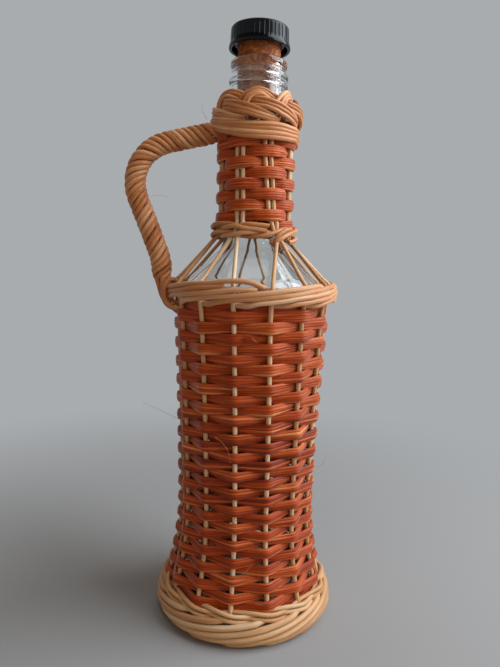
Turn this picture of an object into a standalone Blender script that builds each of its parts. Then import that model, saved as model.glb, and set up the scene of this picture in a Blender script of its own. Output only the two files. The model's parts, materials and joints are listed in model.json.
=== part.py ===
"""A glass bottle in a wicker jacket, with a side handle and a cork stopper under a ribbed cap.

Metres, +Z up. The origin is the centre of the bottle's foot, on the bottle's axis. The handle points
towards -X. Azimuths are measured from the front (-Y) towards +X.
"""

import math

import bmesh
import bpy
import numpy as np
from mathutils import Vector

TURN = 2 * math.pi

# Running clearance between neighbouring pieces
GAP = 0.0003

# Glass bottle: radii are of its outside
GLASS_FOOT_RADIUS = 0.0289
GLASS_SHOULDER_RADIUS = 0.0333
GLASS_NECK_RADIUS = 0.0134
GLASS_FOOT_THICKNESS = 0.0048
GLASS_BODY_WALL = 0.0028
GLASS_NECK_WALL = 0.00295
GLASS_HEEL_FILLET = 0.0045
GLASS_SHOULDER_FILLET = 0.0120
GLASS_NECK_FILLET = 0.0090
GLASS_RIM_HEIGHT = 0.2700
GLASS_NECK_LENGTH = 0.0848
GLASS_SHOULDER_RISE = 0.0192
GLASS_SHOULDER_BEND = 0.0100
GLASS_SEGMENTS = 32
BODY_SAMPLES = 5
FILLET_STEPS = 3
SMALL_FILLET = 0.0010

# Threaded mouth of the glass
MOUTH_LENGTH = 0.0180
MOUTH_WALL = 0.00245
MOUTH_SLOPE = 0.0010
RIM_BEAD_STAND_OFF = 0.0007
RIM_BEAD_HEIGHT = 0.0028
RIM_FILLET = 0.0008
THREAD_RIDGE = 0.0010
THREAD_PITCH = 0.0034
THREAD_TURNS = 1.9
THREAD_BELOW_BEAD = 0.0020
THREAD_POINTS_PER_TURN = 18
THREAD_RUN_OUT_SHARE = 0.35

# Cork and its ribbed cap
CORK_VISIBLE = 0.0052
CORK_DEPTH = 0.0190
CORK_IN_CAP = 0.0065
CORK_TAPER = 0.0004
CORK_EDGE = 0.0006
CORK_SEGMENTS = 28
CAP_OVERHANG = 0.00405
CAP_DRAFT = 0.0006
CAP_HEIGHT = 0.0100
CAP_WALL = 0.0015
CAP_SOCKET_WALL = 0.0012
CAP_SOCKET_LENGTH = 0.0050
CAP_EDGE_FILLET = 0.0018
CAP_RIBS = 22
CAP_RIB_DEPTH = 0.0004
CAP_LIP = 0.0012

# Stakes: the upright pale rods
STAKES = 14
STAKE_RADIUS = 0.00115
STAKE_TIP_SHARE = 0.9
CENTRE_STAKE_AZIMUTH = math.radians(-8)
STAKE_LEAN = math.radians(-4.5)
PAIR_SHIFT = math.radians(-3)
PAIR_SPACING = 0.0029
FLARE_HEIGHT = 0.0600
STAKE_STEP_HEIGHT = 0.0020
BODY_WEAVE_CLEARANCE = 0.0002
STAKE_FLARE_POINTS = 5
STAKE_BODY_POINTS = 4
STAKE_SPOKE_POINTS = 3
SPOKE_STAND_OFF = 0.0020
NECK_SETTLE = 0.0010

# Flat dyed bands woven over the stakes
BAND_THICKNESS = 0.0012
BAND_CLEARANCE = 0.00045
NECK_CLEARANCE = 0.0005
ROW_GAP = 0.0005
BODY_ROWS = 32
BODY_ROW_GROWTH_SHARE = 0.10
BODY_WEAVERS = 2
BODY_LENGTHS = 3
BODY_START = -3.5
SPLICE_GAP = 0.0005
NECK_ROWS = 8
NECK_START = 1.5

# Pale twisted twines: strand radii and number of rows
TWINE_ROWS = 2
TWINE_STRANDS = 2
TWINE_CLEARANCE = 0.0004
TWINE_GAP = 0.0005
NECK_TWINE_GAP = 0.0003
FOOT_STRAND_RADIUS = 0.00075
SHOULDER_STRAND_RADIUS = 0.00125
NECK_STRAND_RADIUS = 0.00085
TWINE_START = 6.5
TWINE_CLIMB = 2

# Foot border: a wound cord that the bottle stands on
BORDER_RADIUS = 0.0433
BORDER_STRAND_RADIUS = 0.00115
BORDER_LOOPS = 4
BORDER_GAP = 0.00045
BORDER_DRAW_IN = 0.0011
BORDER_CLIMB_SHARE = 0.25
BORDER_FLAT_SHARE = 0.1

# Neck collar: one closed plaited strand, and the cane wound below it
COLLAR_LOBES = 7
COLLAR_STRAND_RADIUS = 0.00175
COLLAR_HALF_HEIGHT = 0.0034
COLLAR_POINTS = 56
WRAP_STRAND_RADIUS = 0.00115
WRAP_TURNS = 2.6
WRAP_GAP = 0.00045
LOOP_POINTS = 24

# Handle: a bent core wound with flat cane
HANDLE_AZIMUTH = math.radians(-86)
HANDLE_CORE_RADIUS = 0.00345
HANDLE_TIP_SHARE = 0.62
HANDLE_TAPER_LENGTH = 0.0300
HANDLE_TOP_GAP = 0.0008
HANDLE_KNEE_RADIUS = 0.0647
HANDLE_KNEE_DROP = 0.0105
HANDLE_FILLET = 0.0195
HANDLE_FOOT_STAND_OFF = 0.00495
HANDLE_FOOT_RISE = 0.0012
HANDLE_CORE_POINTS = 16
CANE_THICKNESS = 0.0014
CANE_GAP = 0.0006
CANE_LOOPS = 24
CANE_POINTS_PER_LOOP = 10
CANE_END_CLEARANCE = 0.0012
LASHING_WIDTH = 0.0028
LASHING_THICKNESS = 0.0010
LASHING_FILLET = 0.0016
LASHING_STAKE_STEPS = 2.5

# Merge distance of the modifiers, and how far a cutter passes the piece it cuts
MERGE = 0.00001
OVERRUN = 0.0100

# Heights that stack up from the foot, and down from the rim
BORDER_RISE = 2 * BORDER_STRAND_RADIUS + BORDER_GAP
WRAP_RISE = 2 * WRAP_STRAND_RADIUS + WRAP_GAP
GLASS_NECK_CORNER_HEIGHT = GLASS_RIM_HEIGHT - GLASS_NECK_LENGTH
GLASS_SHOULDER_CORNER_HEIGHT = GLASS_NECK_CORNER_HEIGHT - GLASS_SHOULDER_RISE
GLASS_SHOULDER_HEIGHT = GLASS_SHOULDER_CORNER_HEIGHT - GLASS_SHOULDER_BEND
BORDER_TOP = 2 * BORDER_STRAND_RADIUS + BORDER_RISE * (BORDER_LOOPS - 1)
STAKE_FOOT = BORDER_TOP + GAP
FOOT_TWINE_PITCH = 4 * FOOT_STRAND_RADIUS + 2 * TWINE_GAP
SHOULDER_TWINE_PITCH = 4 * SHOULDER_STRAND_RADIUS + 2 * TWINE_GAP
NECK_TWINE_PITCH = 4 * NECK_STRAND_RADIUS + 2 * NECK_TWINE_GAP
BODY_WEAVE_BOTTOM = STAKE_FOOT + FOOT_TWINE_PITCH * TWINE_ROWS
STAKE_BODY_TOP = GLASS_SHOULDER_HEIGHT - STAKE_STEP_HEIGHT / 2
SHOULDER_TWINE_BOTTOM = STAKE_BODY_TOP + STAKE_STEP_HEIGHT
BODY_WEAVE_TOP = SHOULDER_TWINE_BOTTOM - BODY_WEAVE_CLEARANCE
SHOULDER_TWINE_TOP = SHOULDER_TWINE_BOTTOM + SHOULDER_TWINE_PITCH * TWINE_ROWS
NECK_TWINE_BOTTOM = GLASS_NECK_CORNER_HEIGHT - GAP
NECK_TWINE_TOP = NECK_TWINE_BOTTOM + NECK_TWINE_PITCH * TWINE_ROWS
NECK_WEAVE_BOTTOM = NECK_TWINE_TOP + NECK_SETTLE
MOUTH_BOTTOM = GLASS_RIM_HEIGHT - MOUTH_LENGTH
COLLAR_HEIGHT = MOUTH_BOTTOM - COLLAR_HALF_HEIGHT - COLLAR_STRAND_RADIUS
COLLAR_BOTTOM = COLLAR_HEIGHT - COLLAR_HALF_HEIGHT - COLLAR_STRAND_RADIUS
WRAP_TOP = COLLAR_BOTTOM - GAP
WRAP_BOTTOM = WRAP_TOP - WRAP_RISE * WRAP_TURNS - 2 * WRAP_STRAND_RADIUS
NECK_WEAVE_TOP = WRAP_BOTTOM
NECK_WEAVE_PITCH = (NECK_WEAVE_TOP - NECK_WEAVE_BOTTOM) / NECK_ROWS
HANDLE_TOP_HEIGHT = (WRAP_TOP + WRAP_BOTTOM) / 2
HANDLE_KNEE_HEIGHT = HANDLE_TOP_HEIGHT - HANDLE_KNEE_DROP
CAP_BOTTOM = GLASS_RIM_HEIGHT + CORK_VISIBLE
CAP_TOP = CAP_BOTTOM + CAP_HEIGHT

# Radii that follow from what lies inside
BORE_RADIUS = GLASS_NECK_RADIUS - GLASS_NECK_WALL
MOUTH_RADIUS = BORE_RADIUS + MOUTH_WALL
RIM_BEAD_RADIUS = MOUTH_RADIUS + RIM_BEAD_STAND_OFF
CORK_RADIUS = BORE_RADIUS - GAP
CAP_RADIUS = BORE_RADIUS + CAP_OVERHANG
CAP_TOP_RADIUS = CAP_RADIUS - CAP_DRAFT
NECK_STAKE_RADIUS = STAKE_RADIUS * STAKE_TIP_SHARE
BODY_WICKER_DEPTH = GAP + BAND_THICKNESS + BAND_CLEARANCE + STAKE_RADIUS
SHOULDER_TWINE_DEPTH = GAP + 2 * SHOULDER_STRAND_RADIUS + TWINE_CLEARANCE + STAKE_RADIUS
SHOULDER_STAKE_LINE = GLASS_SHOULDER_RADIUS + SHOULDER_TWINE_DEPTH
HANDLE_FOOT_RADIUS = SHOULDER_STAKE_LINE + HANDLE_FOOT_STAND_OFF
STAKE_FOOT_LINE = BORDER_RADIUS - BORDER_DRAW_IN * (BORDER_LOOPS - 1)
NECK_STAKE_LINE = GLASS_NECK_RADIUS + NECK_CLEARANCE + BAND_THICKNESS + BAND_CLEARANCE + NECK_STAKE_RADIUS
NECK_TWINE_LINE = NECK_STAKE_LINE + 2 * NECK_STRAND_RADIUS
WRAP_RADIUS = NECK_STAKE_LINE + NECK_STAKE_RADIUS + GAP + WRAP_STRAND_RADIUS
COLLAR_TWIST = COLLAR_STRAND_RADIUS + GAP
COLLAR_RADIUS = GLASS_NECK_RADIUS + GAP + COLLAR_STRAND_RADIUS + COLLAR_TWIST
PAIRS = STAKES // 2
STAKE_STEP = TURN / STAKES
PAIR_STEP = TURN / PAIRS


def rounded(corners, steps):
    """Points of an outline through corners (radius, height, fillet). A small fillet is one flat."""
    points = []
    for index, (radius, height, fillet) in enumerate(corners):
        here = Vector((radius, height))
        if not fillet:
            points.append(here)
            continue
        before = (Vector(corners[index - 1][:2]) - here).normalized()
        after = (Vector(corners[(index + 1) % len(corners)][:2]) - here).normalized()
        half_angle = before.angle(after) / 2
        reach = fillet / math.tan(half_angle)
        middle = here + (before + after).normalized() * (fillet / math.sin(half_angle))
        first = here + before * reach - middle
        sweep = first.angle_signed(here + after * reach - middle)
        sides = steps if fillet > SMALL_FILLET else 1
        for step in range(sides + 1):
            angle = -sweep * step / sides
            turned_x = first.x * math.cos(angle) - first.y * math.sin(angle)
            turned_y = first.x * math.sin(angle) + first.y * math.cos(angle)
            points.append(middle + Vector((turned_x, turned_y)))
    return points


def at(azimuth, radius, height):
    """The point at this azimuth, radius and height."""
    return Vector((radius * math.sin(azimuth), -radius * math.cos(azimuth), height))


def glass_radius(height):
    """Outside radius of the glass body, which swells from its foot to its shoulder."""
    share = min(height / GLASS_SHOULDER_HEIGHT, 1)
    return GLASS_FOOT_RADIUS + (GLASS_SHOULDER_RADIUS - GLASS_FOOT_RADIUS) * share**2


def body_stake_radius(height):
    """Radius of the stakes' centre lines on the body. They flare out to stand on the border's top loop."""
    flare = STAKE_FOOT_LINE - glass_radius(STAKE_FOOT) - BODY_WICKER_DEPTH
    share = max(FLARE_HEIGHT - height, 0) / (FLARE_HEIGHT - STAKE_FOOT)
    return glass_radius(height) + BODY_WICKER_DEPTH + flare * share**2


def stake_azimuth(count, height):
    """Azimuth of a stake on the body, where the stakes lean a little as they rise."""
    share = min(height / GLASS_SHOULDER_HEIGHT, 1)
    return CENTRE_STAKE_AZIMUTH + STAKE_LEAN * share**2 + count * STAKE_STEP


def pair_azimuth(count, height=0):
    """Azimuth of the pair made by stakes 2 * count - 1 and 2 * count, the same at every height."""
    return CENTRE_STAKE_AZIMUTH - STAKE_STEP / 2 + PAIR_SHIFT + count * PAIR_STEP


def material(name, colour, roughness, metallic=0, transmission=0):
    made = bpy.data.materials.new(name)
    made.use_nodes = True
    shader = made.node_tree.nodes["Principled BSDF"]
    shader.inputs["Base Color"].default_value = (*colour, 1)
    shader.inputs["Roughness"].default_value = roughness
    shader.inputs["Metallic"].default_value = metallic
    shader.inputs["Transmission Weight"].default_value = transmission
    return made


def place(obj, collection, made_of):
    obj.data.materials.append(made_of)
    collection.objects.link(obj)
    return obj


def baked(obj):
    """The object as its curve settings and modifiers make it, as a plain mesh with its caps welded."""
    bpy.context.view_layer.update()
    graph = bpy.context.evaluated_depsgraph_get()
    data = bpy.data.meshes.new_from_object(obj.evaluated_get(graph))
    mesh = bmesh.new()
    mesh.from_mesh(data)
    bmesh.ops.remove_doubles(mesh, verts=mesh.verts, dist=MERGE)
    mesh.to_mesh(data)
    mesh.free()
    name = obj.name
    obj.name = name + "_guide"
    plain = bpy.data.objects.new(name, data)
    plain.matrix_world = obj.matrix_world
    for collection in obj.users_collection:
        collection.objects.link(plain)
    bpy.data.objects.remove(obj)
    return plain


def turned(name, outline, segments, collection, made_of):
    """A solid turned about Z from an outline that runs down its outer side."""
    data = bpy.data.meshes.new(name)
    mesh = bmesh.new()
    ends = [mesh.verts.new((radius, 0, height)) for radius, height in outline]
    for first, second in zip(ends, ends[1:]):
        mesh.edges.new((first, second))
    mesh.to_mesh(data)
    mesh.free()
    obj = place(bpy.data.objects.new(name, data), collection, made_of)
    screw = obj.modifiers.new("turn", "SCREW")
    screw.axis = "Z"
    screw.angle = TURN
    screw.steps = segments
    screw.render_steps = segments
    screw.use_merge_vertices = True
    screw.merge_threshold = MERGE
    screw.use_smooth_shade = True
    return obj


def tube(name, points, radius, collection, made_of, resolution=0, cyclic=False, shares=None):
    """A round tube along the points, on a poly curve. Shares scale the radius at each point."""
    data = bpy.data.curves.new(name, "CURVE")
    data.dimensions = "3D"
    data.bevel_depth = radius
    data.bevel_resolution = resolution
    data.use_fill_caps = not cyclic
    spline = data.splines.new("POLY")
    spline.points.add(len(points) - 1)
    for index, point in enumerate(points):
        spline.points[index].co = (*point, 1)
        spline.points[index].radius = shares[index] if shares else 1
    spline.use_cyclic_u = cyclic
    return place(bpy.data.objects.new(name, data), collection, made_of)


def upright_band(name, points, height, collection, made_of, leans=None):
    """A flat band on edge along the points: a strip of this height, thickened both ways."""
    data = bpy.data.curves.new(name, "CURVE")
    data.dimensions = "3D"
    data.twist_mode = "Z_UP"
    data.extrude = height / 2
    spline = data.splines.new("POLY")
    spline.points.add(len(points) - 1)
    for index, point in enumerate(points):
        spline.points[index].co = (*point, 1)
        spline.points[index].tilt = leans[index] if leans else 0
    obj = place(bpy.data.objects.new(name, data), collection, made_of)
    thicken = obj.modifiers.new("thickness", "SOLIDIFY")
    thicken.thickness = BAND_THICKNESS
    thicken.offset = 0
    thicken.use_even_offset = True
    return obj


def lofted(name, sections, closed, collection, made_of):
    """A solid through four-cornered sections, for flat cane that turns as it winds."""
    data = bpy.data.meshes.new(name)
    mesh = bmesh.new()
    rings = [[mesh.verts.new(corner) for corner in section] for section in sections]
    following = rings[1:] + rings[:1] if closed else rings[1:]
    for ring, after in zip(rings, following):
        for side in range(len(ring)):
            across = (side + 1) % len(ring)
            mesh.faces.new((ring[side], ring[across], after[across], after[side]))
    if not closed:
        mesh.faces.new(rings[0])
        mesh.faces.new(rings[-1])
    bmesh.ops.recalc_face_normals(mesh, faces=mesh.faces)
    mesh.to_mesh(data)
    mesh.free()
    return place(bpy.data.objects.new(name, data), collection, made_of)


def flat_section(centre, outward, along, width, thickness):
    """The corners of a flat cane's section: its width lies along, its thickness outward."""
    across, up = along * (width / 2), outward * (thickness / 2)
    return [centre - across - up, centre + across - up, centre + across + up, centre - across + up]


def glass_outline():
    """Inside from the foot up, over the rim, and down the outside to the foot."""
    samples = np.linspace(GLASS_HEEL_FILLET + GLASS_FOOT_THICKNESS, GLASS_SHOULDER_HEIGHT, BODY_SAMPLES)
    wall = GLASS_BODY_WALL
    shoulder_corner = GLASS_SHOULDER_CORNER_HEIGHT - wall / 2
    inside = [
        (0, GLASS_FOOT_THICKNESS, 0),
        (GLASS_FOOT_RADIUS - wall, GLASS_FOOT_THICKNESS, GLASS_HEEL_FILLET),
        *[(glass_radius(height) - wall, height, 0) for height in samples[1:]],
        (GLASS_SHOULDER_RADIUS - wall, shoulder_corner, GLASS_SHOULDER_FILLET - wall),
        (BORE_RADIUS, GLASS_NECK_CORNER_HEIGHT - wall / 2, GLASS_NECK_FILLET),
        (BORE_RADIUS, GLASS_RIM_HEIGHT, RIM_FILLET),
    ]
    bead_bottom = GLASS_RIM_HEIGHT - RIM_BEAD_HEIGHT
    outside = [
        (RIM_BEAD_RADIUS, GLASS_RIM_HEIGHT, RIM_FILLET),
        (RIM_BEAD_RADIUS, bead_bottom, RIM_FILLET),
        (MOUTH_RADIUS, bead_bottom - RIM_FILLET, 0),
        (MOUTH_RADIUS, MOUTH_BOTTOM + MOUTH_SLOPE, 0),
        (GLASS_NECK_RADIUS, MOUTH_BOTTOM, 0),
        (GLASS_NECK_RADIUS, GLASS_NECK_CORNER_HEIGHT, GLASS_NECK_FILLET),
        (GLASS_SHOULDER_RADIUS, GLASS_SHOULDER_CORNER_HEIGHT, GLASS_SHOULDER_FILLET),
        *[(glass_radius(height), height, 0) for height in samples[:0:-1]],
        (GLASS_FOOT_RADIUS, 0, GLASS_HEEL_FILLET),
        (0, 0, 0),
    ]
    return rounded(inside + outside, FILLET_STEPS)


def make_glass(collection, cutters, glass):
    """The turned bottle, with its thread joined on as a ridge that fades at both ends."""
    bottle = turned("glass_bottle", glass_outline(), GLASS_SEGMENTS, collection, glass)
    count = math.ceil(THREAD_TURNS * THREAD_POINTS_PER_TURN)
    top = GLASS_RIM_HEIGHT - RIM_BEAD_HEIGHT - THREAD_BELOW_BEAD
    points, shares = [], []
    for index in range(count + 1):
        turns = THREAD_TURNS * index / count
        points.append(at(turns * TURN, MOUTH_RADIUS, top - turns * THREAD_PITCH))
        near_end = min(index, count - index) / THREAD_POINTS_PER_TURN
        shares.append(min(THREAD_RUN_OUT_SHARE + 2 * near_end, 1))
    ridge = baked(tube("thread_ridge", points, THREAD_RIDGE, cutters, glass, 1, False, shares))
    ridge.hide_render = True
    ridge.display_type = "WIRE"
    join = bottle.modifiers.new("thread", "BOOLEAN")
    join.operation = "UNION"
    join.solver = "EXACT"
    join.object = ridge


def make_cork(parent, collection, cork):
    bottom, top = GLASS_RIM_HEIGHT - CORK_DEPTH, CAP_BOTTOM + CORK_IN_CAP
    outline = [
        (0, top, 0),
        (CORK_RADIUS - CORK_EDGE, top, 0),
        (CORK_RADIUS, top - CORK_EDGE, 0),
        (CORK_RADIUS, GLASS_RIM_HEIGHT, 0),
        (CORK_RADIUS - CORK_TAPER, bottom + CORK_EDGE, 0),
        (CORK_RADIUS - CORK_TAPER - CORK_EDGE, bottom, 0),
        (0, bottom, 0),
    ]
    stopper = turned("cork_stopper", rounded(outline, 1), CORK_SEGMENTS, collection, cork)
    stopper.parent = parent


def make_cap(parent, collection, plastic):
    """A shell over the cork, with a ring that holds it, and ribs on every other line of its skirt."""
    ceiling = CAP_BOTTOM + CORK_IN_CAP + GAP
    socket = CORK_RADIUS + GAP
    inner = CAP_RADIUS - CAP_WALL
    ring_bottom = ceiling - CAP_SOCKET_LENGTH
    outline = [
        (0, CAP_TOP, 0),
        (CAP_TOP_RADIUS, CAP_TOP, CAP_EDGE_FILLET),
        (CAP_RADIUS, CAP_BOTTOM + CAP_LIP, 0),
        (CAP_RADIUS, CAP_BOTTOM, 0),
        (inner, CAP_BOTTOM, 0),
        (inner, ceiling, 0),
        (socket + CAP_SOCKET_WALL, ceiling, 0),
        (socket + CAP_SOCKET_WALL, ring_bottom, 0),
        (socket, ring_bottom, 0),
        (socket, ceiling, 0),
        (0, ceiling, 0),
    ]
    cap = baked(turned("stopper_cap", rounded(outline, FILLET_STEPS), 2 * CAP_RIBS, collection, plastic))
    skirt_top = CAP_TOP - CAP_EDGE_FILLET
    for corner in cap.data.vertices:
        radius = math.hypot(corner.co.x, corner.co.y)
        line = round(math.atan2(corner.co.y, corner.co.x) * 2 * CAP_RIBS / TURN)
        on_skirt = CAP_BOTTOM < corner.co.z < skirt_top and radius > inner + CAP_WALL / 2
        if on_skirt and line % 2:
            corner.co.x *= 1 - CAP_RIB_DEPTH / radius
            corner.co.y *= 1 - CAP_RIB_DEPTH / radius
    cap.data.shade_smooth()
    cap.parent = parent


def stake_path(count):
    """A stake from the foot up the body, across the shoulder as a spoke, and up the neck in its pair."""
    flared = np.linspace(STAKE_FOOT, FLARE_HEIGHT, STAKE_FLARE_POINTS)
    straight = np.linspace(FLARE_HEIGHT, STAKE_BODY_TOP, STAKE_BODY_POINTS)
    heights = (*flared, *straight[1:])
    azimuth = stake_azimuth(count, SHOULDER_TWINE_BOTTOM)
    pair = math.ceil(count / 2)
    side = 1 if count % 2 == 0 else -1
    above = pair_azimuth(pair) + side * PAIR_SPACING / 2 / NECK_STAKE_LINE
    path = [(stake_azimuth(count, height), body_stake_radius(height), height) for height in heights]
    path.append((azimuth, SHOULDER_STAKE_LINE, SHOULDER_TWINE_BOTTOM))
    wound = (pair - NECK_START) / PAIRS % 1
    twine_rise = NECK_TWINE_PITCH * wound
    spoke_bottom = SHOULDER_TWINE_TOP - STAKE_RADIUS
    spoke_top = NECK_TWINE_BOTTOM + twine_rise
    spoke_top_radius = NECK_TWINE_LINE + SPOKE_STAND_OFF
    for share in np.linspace(0, 1, STAKE_SPOKE_POINTS):
        turned_to = azimuth + (above - azimuth) * share
        radius = SHOULDER_STAKE_LINE + (spoke_top_radius - SHOULDER_STAKE_LINE) * share
        path.append((turned_to, radius, spoke_bottom + (spoke_top - spoke_bottom) * share))
    path.append((above, NECK_TWINE_LINE, NECK_TWINE_BOTTOM + twine_rise + NECK_STRAND_RADIUS))
    path.append((above, NECK_TWINE_LINE, NECK_TWINE_TOP + twine_rise - NECK_STRAND_RADIUS))
    path.append((above, NECK_STAKE_LINE, NECK_WEAVE_BOTTOM + NECK_WEAVE_PITCH * wound))
    path.append((above, NECK_STAKE_LINE, COLLAR_BOTTOM - GAP))
    return [at(*place_of) for place_of in path]


def make_stakes(collection, cane):
    for number in range(1, STAKES + 1):
        points = stake_path(number - PAIRS)
        shares = list(np.linspace(1, STAKE_TIP_SHARE, len(points)))
        tube(f"stake_{number:02}", points, STAKE_RADIUS, collection, cane, 0, False, shares)


def row_height(row, rows, bottom, top, growth):
    """Height of a row's middle, where rows grow a little taller towards the top."""
    share = (row + 1 / 2) / rows
    return bottom + (top - bottom) * (share - growth * share * (1 - share))


def body_weaver_path(weaver, first, last):
    """One weaver between two places counted in stakes: out over every other stake, in behind the rest."""
    start = BODY_START + weaver * PAIRS
    offset = STAKE_RADIUS + BAND_CLEARANCE + BAND_THICKNESS / 2
    places = [first, *range(math.ceil(first), math.floor(last) + 1), last]
    points, leans = [], []
    for count in places:
        row = BODY_WEAVERS * (count - start) / STAKES
        height = row_height(row, BODY_ROWS, BODY_WEAVE_BOTTOM, BODY_WEAVE_TOP, BODY_ROW_GROWTH_SHARE)
        side = 0 if count in (first, last) else 1 - 2 * ((count + weaver) % 2)
        slope = (body_stake_radius(height + BAND_THICKNESS) - body_stake_radius(height)) / BAND_THICKNESS
        radius = body_stake_radius(height) + side * offset
        points.append(at(stake_azimuth(count, height), radius, height))
        leans.append(math.atan(slope))
    return points, leans


def make_body_weave(collection, reed):
    """Two weavers chase each other up the body, each in a few spliced lengths."""
    pitch = (BODY_WEAVE_TOP - BODY_WEAVE_BOTTOM) / BODY_ROWS * (1 - BODY_ROW_GROWTH_SHARE)
    steps = math.floor(STAKES * (BODY_ROWS - 1) / BODY_WEAVERS)
    splice = SPLICE_GAP / (STAKE_STEP * body_stake_radius(BODY_WEAVE_TOP))
    for weaver in range(BODY_WEAVERS):
        start = BODY_START + weaver * PAIRS
        ends = [start + round(steps * length / BODY_LENGTHS) for length in range(BODY_LENGTHS + 1)]
        for length, (first, last) in enumerate(zip(ends, ends[1:]), 1):
            points, leans = body_weaver_path(weaver, first + splice, last - splice)
            name = f"body_weaver_{'ab'[weaver]}_{length}"
            upright_band(name, points, pitch - ROW_GAP, collection, reed, leans)


def make_neck_weave(collection, reed):
    """One weaver winds up the neck, over and under the seven pairs in turn."""
    offset = NECK_STAKE_RADIUS + BAND_CLEARANCE + BAND_THICKNESS / 2
    half_pair = (PAIR_SPACING / 2 + NECK_STAKE_RADIUS) / (NECK_STAKE_LINE * PAIR_STEP)
    last = NECK_START + PAIRS * (NECK_ROWS - 1)
    places = [(NECK_START, 0)]
    for pair in range(math.ceil(NECK_START), math.ceil(last)):
        side = 1 - 2 * (pair % 2)
        places += [(pair - half_pair, side), (pair + half_pair, side), (pair + 1 / 2, 0)]
    points = []
    for count, side in places:
        height = row_height((count - NECK_START) / PAIRS, NECK_ROWS, NECK_WEAVE_BOTTOM, NECK_WEAVE_TOP, 0)
        points.append(at(pair_azimuth(count), NECK_STAKE_LINE + side * offset, height))
    upright_band("neck_weaver", points, NECK_WEAVE_PITCH - ROW_GAP, collection, reed)


def twine_path(
    strand, groups, start, climb, half_group, azimuth_of, radius_of, bottom, gap, strand_radius, rod
):
    """A strand that passes out of and behind each rod or pair in turn, crossing its partner between."""
    pitch = 4 * strand_radius + 2 * gap
    offset = rod + TWINE_CLEARANCE + strand_radius
    crossing = strand_radius + gap / 2
    places = []
    for group in range(math.ceil(start), math.ceil(start) + groups * TWINE_ROWS - groups // PAIRS):
        side = 1 - 2 * ((group + strand) % 2)
        spread = (-half_group, half_group) if half_group else (0,)
        places += [(group + share, side, 0) for share in spread]
        places.append((group + 1 / 2, 0, -side))
    points = []
    for count, side, fall in places:
        turns = (count - start) / groups
        row = turns if climb == groups else min(max((turns - 1) * groups / climb + 1, 0), 1)
        height = bottom + pitch * (row + 1 / 2)
        radius = radius_of(height) + side * offset
        points.append(at(azimuth_of(count, height), radius, height + fall * crossing))
    return points


def make_twines(collection, cane):
    """Two rows of two twisted strands at the foot, on the shoulder and, climbing all the way, on the neck."""
    half_pair = (PAIR_SPACING / 2 + NECK_STAKE_RADIUS) / (NECK_TWINE_LINE * PAIR_STEP)
    twines = [
        ("foot_twine", STAKES, TWINE_START, TWINE_CLIMB, 0, stake_azimuth, body_stake_radius, STAKE_FOOT,
         TWINE_GAP, FOOT_STRAND_RADIUS, STAKE_RADIUS),
        ("shoulder_twine", STAKES, TWINE_START, TWINE_CLIMB, 0, stake_azimuth,
         lambda height: SHOULDER_STAKE_LINE, SHOULDER_TWINE_BOTTOM, TWINE_GAP, SHOULDER_STRAND_RADIUS,
         STAKE_RADIUS),
        ("neck_twine", PAIRS, NECK_START, PAIRS, half_pair, pair_azimuth, lambda height: NECK_TWINE_LINE,
         NECK_TWINE_BOTTOM, NECK_TWINE_GAP, NECK_STRAND_RADIUS, NECK_STAKE_RADIUS),
    ]
    for name, *sizes in twines:
        for strand in range(TWINE_STRANDS):
            points = twine_path(strand, *sizes)
            tube(f"{name}_{'ab'[strand]}", points, sizes[-2], collection, cane)


def least_gap(points, others, thickness, loop_points):
    """Least gap between a wound strip's turns, from its points to others a good half turn further on."""
    line = np.array([tuple(point) for point in points])
    other = np.array([tuple(point) for point in others])
    apart = np.linalg.norm(line[:, None] - other[None], axis=2)
    order = np.arange(len(line))
    return apart[order[None] - order[:, None] > loop_points / 2].min() - thickness


def make_border(collection, cutters, cane):
    """A cord wound in four loops, each level but for its last quarter, cut flat where it stands."""
    points = []
    steps = BORDER_LOOPS * LOOP_POINTS
    level_share = 1 - BORDER_CLIMB_SHARE
    for index in range(steps + 1 - round(BORDER_CLIMB_SHARE * LOOP_POINTS)):
        loop, part = divmod(index, LOOP_POINTS)
        climbed = loop + max(part / LOOP_POINTS - level_share, 0) / BORDER_CLIMB_SHARE
        radius = BORDER_RADIUS - BORDER_DRAW_IN * climbed
        height = BORDER_STRAND_RADIUS * (1 - 2 * BORDER_FLAT_SHARE) + BORDER_RISE * climbed
        points.append(at(TURN * (index / LOOP_POINTS + 1 / 2), radius, height))
    print("foot_border gap", least_gap(points, points, 2 * BORDER_STRAND_RADIUS, LOOP_POINTS))
    border = baked(tube("foot_border", points, BORDER_STRAND_RADIUS, collection, cane, 1))
    side = 2 * (BORDER_RADIUS + OVERRUN)
    data = bpy.data.meshes.new("floor_cutter")
    mesh = bmesh.new()
    bmesh.ops.create_cube(mesh, size=side)
    mesh.to_mesh(data)
    mesh.free()
    cutter = place(bpy.data.objects.new("floor_cutter", data), cutters, cane)
    cutter.location.z = -side / 2
    cutter.hide_render = True
    cutter.display_type = "WIRE"
    cut = border.modifiers.new("flat", "BOOLEAN")
    cut.operation = "DIFFERENCE"
    cut.solver = "EXACT"
    cut.object = cutter


def make_collar(collection, cane):
    """One closed strand round the neck twice, twisted about itself, with a lobe for each pair of stakes."""
    points = []
    for index in range(COLLAR_POINTS):
        turns = 2 * index / COLLAR_POINTS
        twist = TURN * turns * COLLAR_LOBES / 2
        radius = COLLAR_RADIUS + COLLAR_TWIST * math.cos(twist)
        points.append(at(turns * TURN, radius, COLLAR_HEIGHT + COLLAR_HALF_HEIGHT * math.sin(twist)))
    tube("neck_collar", points, COLLAR_STRAND_RADIUS, collection, cane, 1, True)


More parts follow.
